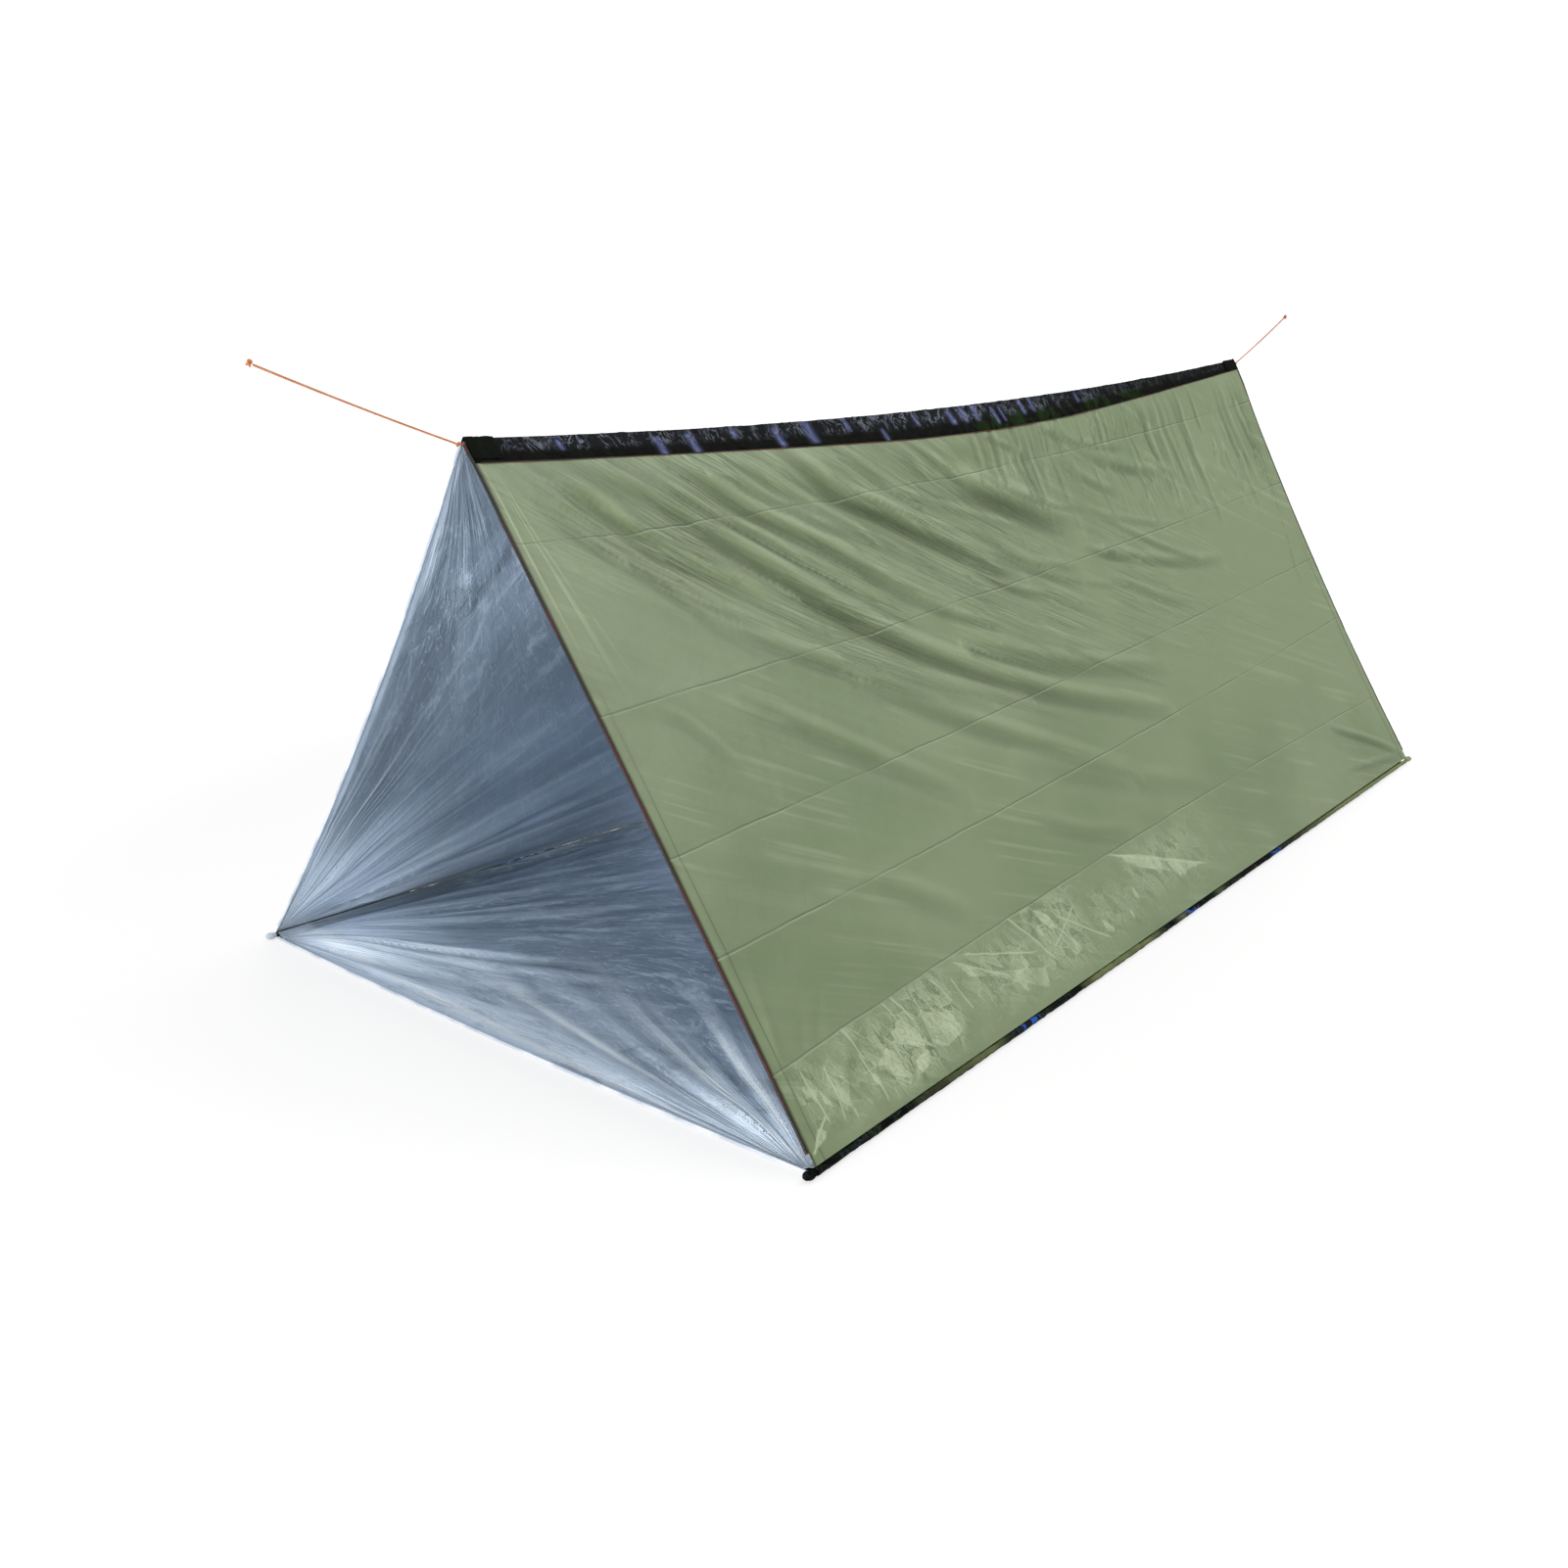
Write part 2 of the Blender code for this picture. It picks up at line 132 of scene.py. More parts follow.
class Value:
    # One output socket of a shader or geometry tree. Sums on it add Math nodes.
    def __init__(self, tree, socket=None):
        self.tree, self.socket = tree, socket

    def node(self, kind, settings=None, inputs=None, output=0):
        made = self.tree.nodes.new(kind)
        for name, value in (settings or {}).items():
            setattr(made, name, value)
        for name, value in (inputs or {}).items():
            for item in value if isinstance(value, list) else [value]:
                if isinstance(item, Value):
                    self.tree.links.new(item.socket, made.inputs[name])
                else:
                    made.inputs[name].default_value = item
        return Value(self.tree, made.outputs[output])

    def maths(self, operation, *values):
        return self.node("ShaderNodeMath", {"operation": operation}, dict(enumerate(values)))

    def __add__(self, other):
        return self.maths("ADD", self, other)

    def __sub__(self, other):
        return self.maths("SUBTRACT", self, other)

    def __rsub__(self, other):
        return self.maths("SUBTRACT", other, self)

    def __mul__(self, other):
        return self.maths("MULTIPLY", self, other)

    def __truediv__(self, other):
        return self.maths("DIVIDE", self, other)

    def __rtruediv__(self, other):
        return self.maths("DIVIDE", other, self)

    def __abs__(self):
        return self.maths("ABSOLUTE", self)

    __radd__ = __add__
    __rmul__ = __mul__

    def most(self, other):
        return self.maths("MAXIMUM", self, other)

    def rise(self, low, high):
        # 0 below low, 1 above high, and smooth between them
        kind = {"interpolation_type": "SMOOTHSTEP"}
        return self.node("ShaderNodeMapRange", kind, {0: self, 1: low, 2: high, 3: 0.0, 4: 1.0})

    def fall(self, low, high):
        return 1.0 - self.rise(low, high)

    def near(self, width, core=0.0):
        # 1 where the value is close to 0
        return abs(self).fall(core, width)

    def tint(self, low, high):
        return self.node("ShaderNodeMix", {"data_type": "RGBA"}, {0: self, 6: low, 7: high}, 2)

    def vectorMaths(self, operation, *others, output=0):
        values = dict(enumerate((self, *others)))
        return self.node("ShaderNodeVectorMath", {"operation": operation}, values, output)

    def scaled(self, amount):
        return self.node("ShaderNodeVectorMath", {"operation": "SCALE"}, {0: self, 3: amount})

    def join(self, x, y, z=0.0):
        return self.node("ShaderNodeCombineXYZ", None, {0: x, 1: y, 2: z})

    def parts(self):
        return [self.node("ShaderNodeSeparateXYZ", None, {0: self}, index) for index in range(3)]

    def noise(self, scale, detail=2.0, roughness=0.5, distortion=0.0):
        values = {0: self, 2: scale, 3: detail, 4: roughness, 8: distortion}
        return self.node("ShaderNodeTexNoise", None, values)

    def cells(self, scale, feature="F1", output=0):
        return self.node("ShaderNodeTexVoronoi", {"feature": feature}, {0: self, 2: scale}, output)

    def stroke(self, first, last, width):
        # 1 on a thin straight line that fades at both ends
        run = Vector(last) - Vector(first)
        way = run.normalized()
        away = self.vectorMaths("SUBTRACT", (*first, 0.0))
        passed = away.vectorMaths("DOT_PRODUCT", (*way, 0.0), output=1) / run.length
        off = away.vectorMaths("DOT_PRODUCT", (-way.y, way.x, 0.0), output=1)
        return off.near(width) * (passed * (1.0 - passed)).rise(0.0, 0.1)

    def sheetPlace(self):
        # metres along and down the piece's own sheet, kept in its UV map
        return self.node("ShaderNodeUVMap", {"uv_map": "sheet"})

    def objectPlace(self):
        return self.node("ShaderNodeTexCoord", None, None, 3)

    def attribute(self, name):
        return self.node("ShaderNodeAttribute", {"attribute_name": name}, None, 2)


def paint(*levels):
    # a screen colour, 0 to 255, as the linear colour that a shader takes
    shares = [level / 255 for level in levels]
    linear = [share / 12.92 if share <= 0.04045 else ((share + 0.055) / 1.055) ** 2.4 for share in shares]
    return (*linear, 1.0)


def newFinish(name, colour, roughness, metallic=0.0, fixed=None):
    made = bpy.data.materials.new(name)
    made.use_nodes = True
    levels = {"Base Color": colour, "Roughness": roughness, "Metallic": metallic, **(fixed or {})}
    for key, value in levels.items():
        made.node_tree.nodes["Principled BSDF"].inputs[key].default_value = value
    made.diffuse_color = colour
    return made, Value(made.node_tree)


def closeFinish(made, colour, roughness, height, distance=1.0):
    bumped = height.node("ShaderNodeBump", None, {"Height": height, "Distance": distance, "Strength": 1.0})
    shader = made.node_tree.nodes["Principled BSDF"]
    for key, value in (("Base Color", colour), ("Roughness", roughness), ("Normal", bumped)):
        made.node_tree.links.new(value.socket, shader.inputs[key])
    return made


def coated(colour, look, *coats):
    # each coat's mask and colour, laid over the ones before it
    for mask, key in coats:
        colour = mask.tint(colour, look[key])
    return colour


oliveLook = {
    "base": paint(125, 142, 105),
    "shade": paint(74, 90, 56),
    "light": paint(139, 155, 118),
    "glint": paint(190, 204, 168),
    "line": paint(80, 96, 64),
    "rim": paint(62, 66, 22),
    "roughness": 0.42,
    # how far down each packing crease lies: constant, slope and curve against the length, in metres
    "creases": (
        (0.1708, -0.0309, 0.0023),
        (0.4503, -0.0701, 0.0099),
        (0.6722, -0.0642, 0.0058),
        (0.8221, -0.0367, -0.0033),
        (0.9918, -0.0551, 0.0152),
    ),
    "creaseWidth": 0.0019,
    # the folds from the ridge: place along = offset + lean x down + bend x down squared
    "foldLean": 1.2,
    "foldBend": 0.55,
    "hemWidth": 0.021,
    # the deepest of the main and of the small creases
    "deepest": {"main": 0.0075, "small": 0.0036},
}

# The crumpled belt above the ground edge and its painted glints, in millimetres along and down the sheet
belt = {
    # what the finish reads where no facet is near, in metres
    "farGap": 0.2,
    # small painted glint facets strewn over the wrinkled patches
    "scattered": 26,
    "seed": 305,
    # painted glint facets, each a list of corners
    "shards": (
        (323, 997, 380, 1053, 391, 1077, 344, 1085, 319, 1070),
        (241, 1014, 291, 1036, 307, 1060, 262, 1058),
        (212, 1038, 250, 1060, 244, 1096, 209, 1075),
        (265, 1066, 302, 1068, 287, 1092, 250, 1098),
        (112, 1036, 124, 1052, 102, 1084),
        (48, 1000, 66, 1036, 52, 1052),
        (10, 1104, 34, 1080, 50, 1094),
        (446, 984, 537, 1043, 466, 1014),
        (500, 1020, 644, 1066, 633, 1098, 560, 1060),
        (690, 972, 712, 984, 760, 1073, 735, 1078),
        (985, 962, 1060, 985, 1238, 1064, 1143, 1051, 1024, 999),
    ),
    # first and last point of each thin painted highlight line, and its width in tenths of a millimetre
    "strokes": (
        ((274, 966), (302, 1028), 32),
        ((255, 972), (272, 1022), 24),
        ((157, 978), (175, 1040), 30),
        ((166, 1020), (181, 1104), 26),
        ((50, 1000), (60, 1086), 24),
        ((98, 1010), (88, 1096), 22),
        ((378, 984), (400, 1034), 26),
        ((420, 998), (434, 1062), 24),
        ((440, 980), (560, 1050), 32),
        ((470, 976), (650, 1040), 26),
        ((619, 958), (684, 1068), 34),
        ((735, 998), (852, 1088), 34),
        ((690, 1050), (800, 1000), 26),
        ((4, 1108), (60, 1070), 30),
        ((960, 950), (1250, 1070), 40),
    ),
    # centre, half length, half height and strength in thousandths of each finely wrinkled patch, where
    # painted shade and highlight lines go
    "patches": (
        (55, 1030, 30, 55, 400),
        (105, 1055, 28, 45, 400),
        (165, 1020, 28, 70, 500),
        (262, 1052, 75, 55, 1000),
        (350, 1030, 55, 60, 800),
        (540, 1030, 100, 45, 600),
        (720, 1020, 90, 70, 700),
        (900, 1040, 80, 45, 400),
        (1120, 1020, 130, 50, 500),
    ),
}


def creaseDown(along, base, slope, curve):
    # how far down the sheet a packing crease lies
    return base + along * (slope + along * curve)


def oliveFilm(look):
    made, start = newFinish("oliveFilm", look["base"], look["roughness"])
    place = start.sheetPlace()
    along, down, _ = place.parts()
    clouds = place.noise(2.6, 3.0, 0.55).rise(0.32, 0.68)
    grain = place.noise(46.0, 3.0, 0.6)
    # how much painted shade each crease's valley gets and how much painted highlight its lip gets
    shades, lips = [], []
    for name, deepest in look["deepest"].items():
        valley, lip, weight = (start.attribute(name + part) for part in ("Valley", "Lip", "Weight"))
        shades.append(valley.fall(0.2, 1.45) * weight / deepest)
        lips.append(lip.fall(0.0, 0.85) * weight / deepest)
    shade, lip = (first.most(second) for first, second in (shades, lips))
    crumple = start.attribute("crumple")

    # the folds from the ridge are all shifted copies of one curve, so the painted highlight and shade streaks
    # follow it too
    offset = along - down * (down * look["foldBend"] + look["foldLean"])
    slant = start.join(offset, down * 0.13)
    streaks = slant.noise(13.0, 4.0, 0.62)
    tight = down.fall(0.3, 0.82) * offset.rise(-0.3, 0.05) * offset.fall(0.6, 1.5)
    tight = tight * (place.noise(3.4, 2.0).rise(0.36, 0.6) * 0.8 + 0.2)
    hanging = start.join(along, down * 0.12 + 3.0)
    hung = along.rise(1.0, 1.35) * down.fall(0.16, 0.46) * place.noise(5.0, 2.0).rise(0.4, 0.6)
    # fine creases in the fold region and under the band's rear: a painted shade line with a painted highlight
    # beside it
    fineDark, fineLight = [], []
    for spot, scale, where in ((slant, 17.0, tight), (slant, 41.0, tight), (hanging, 30.0, hung)):
        cross = spot.noise(scale, 2.5, 0.55, 0.25) - 0.5
        fineDark.append(cross.near(0.02) * where)
        fineLight.append((cross + 0.034).near(0.02, 0.004) * where)
    fineDark, fineLight = (one.most(two).most(three) for one, two, three in (fineDark, fineLight))

    # packing creases, a thin line of painted shade with a painted highlight line under it
    waver = (start.join(along, 0.0).noise(9.0, 3.0) - 0.5) * 0.007
    dark, under, creaseWidth = None, None, look["creaseWidth"]
    for crease in look["creases"]:
        gap = down - creaseDown(along, *crease) + waver
        line, edge = gap.near(creaseWidth), (gap - creaseWidth * 1.4).near(creaseWidth)
        dark = line if dark is None else dark + line
        under = edge if under is None else under + edge
    inBelt = gap.rise(0.0, 0.004)
    broken = start.join(along, down * 0.2).noise(5.0, 2.0).rise(0.3, 0.62)
    dark, under = dark * (broken * 0.75 + 0.25), under * broken

    # folded hem strips at the two open ends
    hemFront = (along - look["hemWidth"]).near(0.0022)
    hemRear = (along - (ridgeLength - look["hemWidth"])).near(0.0026)
    hemShade = (hemFront + hemRear) * down.rise(0.25, 0.8)

    # the belt: facets and thin lines with painted highlights and painted shade, where the crumples catch the
    # light
    bent = start.join(along * 0.32 + down * 0.5, down * 0.8 - along * 1.15)
    crossed = start.join(along * 0.95 - down * 0.35, down * 0.35 + along * 0.55)
    wrinkled = start.attribute("wrinkled") * inBelt
    belted = start.attribute("belted") * inBelt
    shaken = place.vectorMaths("ADD", start.join(0.0, (place.noise(30.0, 2.0) - 0.5) * 0.01))
    facets = bent.cells(44.0, "F1", 1).parts()[0]
    small = crossed.cells(76.0, "F1", 1).parts()[1]
    shards = start.attribute("shardGap").fall(-0.0006, 0.0014)
    warp = (place.noise(38.0, 2.0) - 0.5) * 0.024
    veined = bent.vectorMaths("ADD", start.join(warp, warp)).cells(92.0, "DISTANCE_TO_EDGE")
    wrinkleShade, gleams = veined.fall(0.02, 0.1), (veined - 0.16).near(0.07)
    shadedFacets = facets.rise(0.35, 0.2) * wrinkled
    pale = facets.rise(0.55, 0.7).most(small.rise(0.66, 0.76) * 0.8) * wrinkled
    lines = []
    for spot, scale, wide, limits in ((bent, 44.0, 0.06, (0.44, 0.56)), (crossed, 34.0, 0.04, (0.48, 0.6))):
        shown = spot.noise(16.0, 2.0).rise(*limits)
        lines.append(spot.cells(scale, "DISTANCE_TO_EDGE").fall(0.0, wide) * shown)
    glintLines = lines[0].most(lines[1]) * (wrinkled * 0.85 + crumple * 0.15)
    for first, last, width in belt["strokes"]:
        glintLines = glintLines.most(shaken.stroke(*pairs((*first, *last), 1000), width / 10000) * belted)
    # painted glint flecks over the middle and rear of the sheet
    glintFlecks = place.noise(130.0, 2.0, 0.6).rise(0.66, 0.72) * start.attribute("fleck")

    # painted highlight streaks on the lower sheet, how strong the painted fold shade and highlights are from
    # place to place, and painted highlights on fine pleats that fan out of the front apex beside the hem
    glintStreaks = slant.noise(24.0, 4.0, 0.6).rise(0.5, 0.66) * place.noise(4.6, 3.0).rise(0.44, 0.6)
    paintedFoldStrength = slant.noise(3.0, 3.0, 0.6).rise(0.25, 0.6) * 0.5 + 0.5
    fan = along / (down + 0.1)
    pleatGlints = start.join(fan, down * 0.05 + 7.0).noise(42.0, 2.0, 0.5).rise(0.52, 0.62)
    pleatGlints = pleatGlints * fan.fall(0.12, 0.26) * down.fall(0.12, 0.46) * along.rise(0.003, 0.012)
    paleRear = along.rise(1.1, 1.8) * down.rise(0.2, 0.45) * down.fall(0.7, 1.0)

    colour = coated(
        look["base"],
        look,
        (clouds, "light"),
        # painted light over the rear half, and painted shade over the front middle
        (paleRear * 0.85, "light"),
        (along.fall(0.05, 0.6) * down.rise(0.1, 0.4) * 0.18, "shade"),
        # painted highlight and shade streaks along the folds, and painted highlight streaks lower down
        (streaks.rise(0.42, 0.66) * (tight * 0.7 + 0.25), "light"),
        (glintStreaks * (1.0 - tight) * 0.2, "glint"),
        (streaks.rise(0.5, 0.34) * tight * 0.32, "shade"),
        # painted highlights and painted shade of the fine creases
        (fineLight * 0.3, "glint"),
        (fineDark * 0.3, "shade"),
        # painted highlights on the fine pleats by the front hem
        (pleatGlints * 0.6, "glint"),
        # painted highlights on the crease lips and painted shade in their valleys
        (lip * paintedFoldStrength * 0.5, "glint"),
        (shade * paintedFoldStrength, "shade"),
        (along.fall(0.0015, 0.0055) * 0.85, "rim"),
        (grain.rise(0.5, 0.75) * 0.12, "light"),
        # the packing creases' painted highlight and painted shade lines
        (under * 0.4, "glint"),
        (dark * 0.65, "line"),
        (hemShade * 0.7, "line"),
        # the belt's painted highlights and shade: crumples, facets, shards, wrinkle lines, bright lines and
        # flecks
        (crumple * 0.45, "light"),
        (shadedFacets * 0.3, "shade"),
        (pale * 0.5, "glint"),
        (shards * (facets * 0.55 + small * 0.3 + 0.15), "glint"),
        (wrinkleShade * wrinkled * 0.32, "shade"),
        (gleams * wrinkled * 0.5, "glint"),
        (glintLines * 0.8, "glint"),
        (glintFlecks * 0.55, "glint"),
    )
    height = streaks * (tight * 0.004 + 0.0008) - fineDark * 0.0009 + grain * 0.0004
    height = height + place.noise(21.0, 3.0, 0.55, 0.4) * 0.0012 - dark * 0.0008
    return closeFinish(made, colour, grain * 0.06 - shards * 0.14 + (look["roughness"] - 0.03), height)


foilLook = {
    "base": paint(150, 168, 188),
    "deep": paint(128, 144, 160),
    "dark": paint(98, 111, 122),
    "bright": paint(218, 234, 251),
    "white": paint(238, 248, 255),
    "roughness": 0.38,
    "metallic": 0.12,
}


def silverFoil(look):
    made, start = newFinish("silverFoil", look["base"], look["roughness"], look["metallic"])
    place = start.sheetPlace()
    crest, fold, pale, nearFirst, crinkled, glare = (
        start.attribute(name) for name in ("crest", "fold", "pale", "nearFirst", "crinkled", "glare")
    )
    # painted highlight and shade streaks that spread from two corners: the angle to each and the distance
    # from it come from the mesh
    spreads = []
    for name in ("first", "second"):
        turn, reach = start.attribute(name + "Turn"), start.attribute(name + "Reach")
        wide, fine = (
            start.join(turn * across, reach * out).noise(1.0, 3.0, 0.6) - 0.5
            for across, out in ((13.0, 1.5), (46.0, 2.6))
        )
        weak, close = reach.fall(0.1, 0.85), reach.fall(0.0, 0.5)
        spreads.append((wide * (weak * 0.9 + close * 0.6 + 0.12), fine * (weak + close * 0.8)))
    wide, fine = (nearFirst * one + (1.0 - nearFirst) * two for one, two in zip(*spreads))
    crinkle = place.noise(30.0, 4.0, 0.62, 0.6)
    clouds = place.noise(3.2, 3.0, 0.5).rise(0.3, 0.7)
    streakPlace = start.join(start.attribute("hairTurn"), start.attribute("hairReach"))
    glintLines = (streakPlace.noise(1.0, 3.0, 0.6, 0.6) - 0.5).near(0.022)
    turn, reach = start.attribute("firstTurn"), start.attribute("firstReach")
    mottle = start.join(turn * 15.0, reach * 6.0).noise(1.0, 6.0, 0.72, 0.7) - 0.5
    beams = start.join(start.attribute("beamTurn"), crest * 0.15).noise(1.0, 2.0, 0.55)
    # painted light and shade on the foil: soft cloudy shade, painted light where light comes in, painted
    # streaks, painted highlights on crests and crinkles, painted shade in hollows and crinkles, and painted
    # glare
    colour = coated(
        look["deep"],
        look,
        (clouds, "base"),
        (pale.rise(0.0, 1.0), "bright"),
        (wide.rise(0.04, 0.22) * 0.55, "bright"),
        (wide.rise(-0.03, -0.2) * 0.5, "deep"),
        (fine.rise(0.06, 0.24) * 0.5, "bright"),
        (crest.rise(0.1, 0.9) * 0.4, "bright"),
        (fold.rise(0.0, 1.0) * 0.65, "dark"),
        (mottle.rise(-0.01, -0.14) * crinkled * 0.5, "dark"),
        (mottle.rise(0.02, 0.15) * crinkled * 0.55, "bright"),
        (glintLines * crinkled * 0.5, "bright"),
        (beams.rise(0.46, 0.64) * glare, "white"),
    )
    height = wide * 0.006 + fine * 0.0018 + mottle * (crinkled * 0.004)
    height = height + crinkle * (crinkled * 0.0018 + 0.0006)
    return closeFinish(made, colour, (crinkle - 0.5) * 0.2 + look["roughness"], height)


blackLook = {
    "base": paint(5, 5, 4),
    "sheen": paint(128, 138, 190),
    "haze": paint(116, 121, 136),
    "moss": paint(24, 44, 10),
    "blue": paint(52, 98, 190),
    "curl": paint(132, 142, 94),
    "roughness": 0.36,
    "specular": 0.03,
}


def blackFilm(look, name, blueShare, sheenShare):
    gloss = {"Specular IOR Level": look["specular"]}
    made, start = newFinish(name, look["base"], look["roughness"], fixed=gloss)
    x, y, z = start.objectPlace().parts()
    place = start.join(x, y, z)
    long = start.join(x * 1.2, y * 1.6, z * 0.9)
    lift, moss, glint = (start.attribute(key) for key in ("lift", "moss", "glint"))
    crinkle = long.noise(34.0, 4.0, 0.65, 1.1)
    slivers = (long.noise(13.0, 3.0, 0.55, 1.8) - 0.5).near(0.02)
    slivers = slivers * place.noise(7.0, 2.0, 0.6).rise(0.44, 0.6)
    patches = start.join(0.0, y, 0.0).noise(5.2, 2.0).rise(0.53, 0.6)
    lumps = long.noise(21.0, 3.0, 0.55, 0.9)
    islands = place.noise(9.0, 3.0, 0.6, 0.6).rise(0.54, 0.6)
    hatch = (long.noise(38.0, 3.0, 0.6, 0.9) - 0.5).near(0.06) * lumps.rise(0.36, 0.6)
    # olive film curls over the ground seam, in places and all along its rear
    bits = start.join(0.0, y, 3.0).noise(3.4, 3.0, 0.6).rise(0.47, 0.57) * y.rise(-1.05, -0.6)
    edge = (lumps - 0.5) * 0.006 + z
    curl = y.rise(0.3, 0.75).most(bits * 0.9) * edge.rise(0.0046, 0.0062)
    colour = coated(
        look["base"],
        look,
        (lumps.rise(0.42, 0.62) * (moss * 0.85 + 0.15), "moss"),
        # painted reflections: the sky on the band's upper part, sheen slivers there, and highlights on the
        # pleats
        ((hatch * 0.92 + 0.04) * lift * sheenShare, "haze"),
        (islands * slivers * lift * sheenShare, "sheen"),
        ((hatch * 0.5 + 0.5) * glint * sheenShare, "sheen"),
        # painted blue reflections in patches on the ground seam
        (patches * lumps.rise(0.52, 0.58) * blueShare, "blue"),
        (curl * blueShare, "curl"),
    )
    height = crinkle * 0.0026 + slivers * 0.0006
    return closeFinish(made, colour, look["roughness"] + lumps * 0.14, height)


def hemFinish(name, low, high, roughness):
    made, start = newFinish(name, low, roughness)
    place = start.objectPlace()
    grain = place.noise(300.0, 2.0)
    colour = place.noise(11.0, 2.0, 0.5).rise(0.42, 0.58).tint(low, high)
    return closeFinish(made, colour, grain * 0.2 + roughness - 0.1, grain, 0.0006)


def ropeFinish(name, low, high):
    made, start = newFinish(name, low, 0.72, fixed={"Sheen Weight": 0.35, "Sheen Roughness": 0.4})
    place = start.objectPlace()
    fibre = place.noise(1500.0, 2.0, 0.6)
    colour = (fibre * 0.5 + place.noise(60.0, 2.0).rise(0.4, 0.7) * 0.4).tint(low, high)
    return closeFinish(made, colour, fibre * 0.2 + 0.62, fibre, 0.0003)


finishes = {
    "olive": oliveFilm(oliveLook),
    "foil": silverFoil(foilLook),
    "band": blackFilm(blackLook, "ridgeBandFilm", 0.0, 0.92),
    "ground": blackFilm(blackLook, "groundFilm", 0.9, 0.3),
    "hem": hemFinish("darkHem", paint(24, 22, 8), paint(58, 18, 12), 0.5),
    "thread": hemFinish("redEdge", paint(52, 16, 10), paint(96, 28, 20), 0.5),
    "foilHem": hemFinish("foilHem", paint(228, 235, 243), paint(192, 203, 216), 0.36),
    "rope": ropeFinish("orangeRope", paint(190, 114, 60), paint(222, 154, 104)),
    "knot": ropeFinish("orangeKnot", paint(184, 98, 48), paint(214, 136, 82)),
}
print("finishes mixed")


def meshFrom(name, points, faces, uvs=None, attributes=None):
    mesh = bpy.data.meshes.new(name)
    mesh.from_pydata(points, [], faces)
    mesh.update()
    corner = np.zeros(len(mesh.loops), np.int32)
    mesh.loops.foreach_get("vertex_index", corner)
    if uvs is not None:
        layer = mesh.uv_layers.new(name="sheet")
        layer.data.foreach_set("uv", uvs[corner].astype(np.float32).ravel())
    for label, values in (attributes or {}).items():
        made = mesh.attributes.new(label, "FLOAT", "POINT")
        made.data.foreach_set("value", np.asarray(values, np.float32).ravel())
    mesh.shade_smooth()
    mesh.set_sharp_from_angle(angle=math.radians(60))
    return mesh


def cadName(name):
    # rightSlopeFilm stands for the CAD's right_slope_film
    return "".join("_" + letter.lower() if letter.isupper() else letter for letter in name)


def addPiece(mesh, finish, body="tube", flattens=False, inCad=True):
    piece = newObject(mesh.name, mesh)
    mesh.materials.clear()
    mesh.materials.append(finishes[finish])
    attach(piece, body)
    if flattens:
        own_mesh(piece)
    if inCad:
        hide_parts(cadName(mesh.name))
    return piece


def gridFaces(rows, columns, start, turned):
    row, column = np.meshgrid(np.arange(rows - 1), np.arange(columns - 1), indexing="ij")
    corner = (row * columns + column).ravel() + start
    faces = np.stack([corner, corner + columns, corner + columns + 1, corner + 1], 1)
    return faces[:, ::-1] if turned else faces


def rimIndices(rows, columns):
    # the grid's outline, once round
    top = list(range(columns))
    right = [row * columns + columns - 1 for row in range(1, rows)]
    bottom = [(rows - 1) * columns + column for column in range(columns - 2, -1, -1)]
    left = [row * columns for row in range(rows - 2, 0, -1)]
    return np.array(top + right + bottom + left)


def shellMesh(name, face, back, uv, attributes):
    # a thin closed sheet from two grids of points, face outwards and back behind it
    rows, columns = face.shape[:2]
    count = rows * columns
    row, column = rows // 2, columns // 2
    middle = face[row, column]
    outward = np.cross(face[row + 1, column] - middle, face[row, column + 1] - middle)
    turned = float(np.dot(outward, middle - back[row, column])) < 0
    rim = rimIndices(rows, columns)
    following = np.roll(rim, -1)
    edge = np.stack([rim, following, following + count, rim + count], 1)
    faces = [gridFaces(rows, columns, 0, turned), gridFaces(rows, columns, count, not turned)]
    faces = np.concatenate([*faces, edge[:, ::-1] if turned else edge])
    points = np.concatenate([face.reshape(-1, 3), back.reshape(-1, 3)])
    both = {label: np.tile(values.ravel(), 2) for label, values in attributes.items()}
    return meshFrom(name, points, faces, np.tile(uv.reshape(-1, 2), (2, 1)), both)


def softNoise(a, b, size, seed):
    # smooth lumps from -1 to 1; size is their width each way in metres
    table = np.random.default_rng(seed).uniform(-1, 1, (64, 64))
    x, y = a / size[0] + 500.3, b / size[1] + 500.7
    column, row = np.floor(x).astype(int), np.floor(y).astype(int)
    stepX, stepY = x - column, y - row
    stepX, stepY = stepX * stepX * (3 - 2 * stepX), stepY * stepY * (3 - 2 * stepY)
    low = mix(table[column % 64, row % 64], table[(column + 1) % 64, row % 64], stepX)
    high = mix(table[column % 64, (row + 1) % 64], table[(column + 1) % 64, (row + 1) % 64], stepX)
    return mix(low, high, stepY)


def layeredNoise(a, b, size, seed, layers=3):
    total, strength = 0, 1.0
    for layer in range(layers):
        finer = (size[0] / 2**layer, size[1] / 2**layer)
        total = total + strength * softNoise(a, b, finer, seed + layer)
        strength *= 0.5
    return total


def bentLine(first, middle, last, steps=12):
    share = np.linspace(0, 1, steps + 1)[:, None]
    first, middle, last = (np.array(point) for point in (first, middle, last))
    return first * (1 - share) ** 2 + middle * 2 * share * (1 - share) + last * share**2


def throughLine(points, steps=5):
    # a smooth line through points
    spots = np.array([points[0], *points, points[-1]], float)
    line = []
    for before, start, end, after in zip(spots, spots[1:], spots[2:], spots[3:]):
        bend = 2 * before - 5 * start + 4 * end - after
        twist = 3 * start - before - 3 * end + after
        for share in np.arange(steps) / steps:
            line.append(0.5 * (2 * start + (end - before) * share + bend * share**2 + twist * share**3))
    return np.array([*line, spots[-1]])


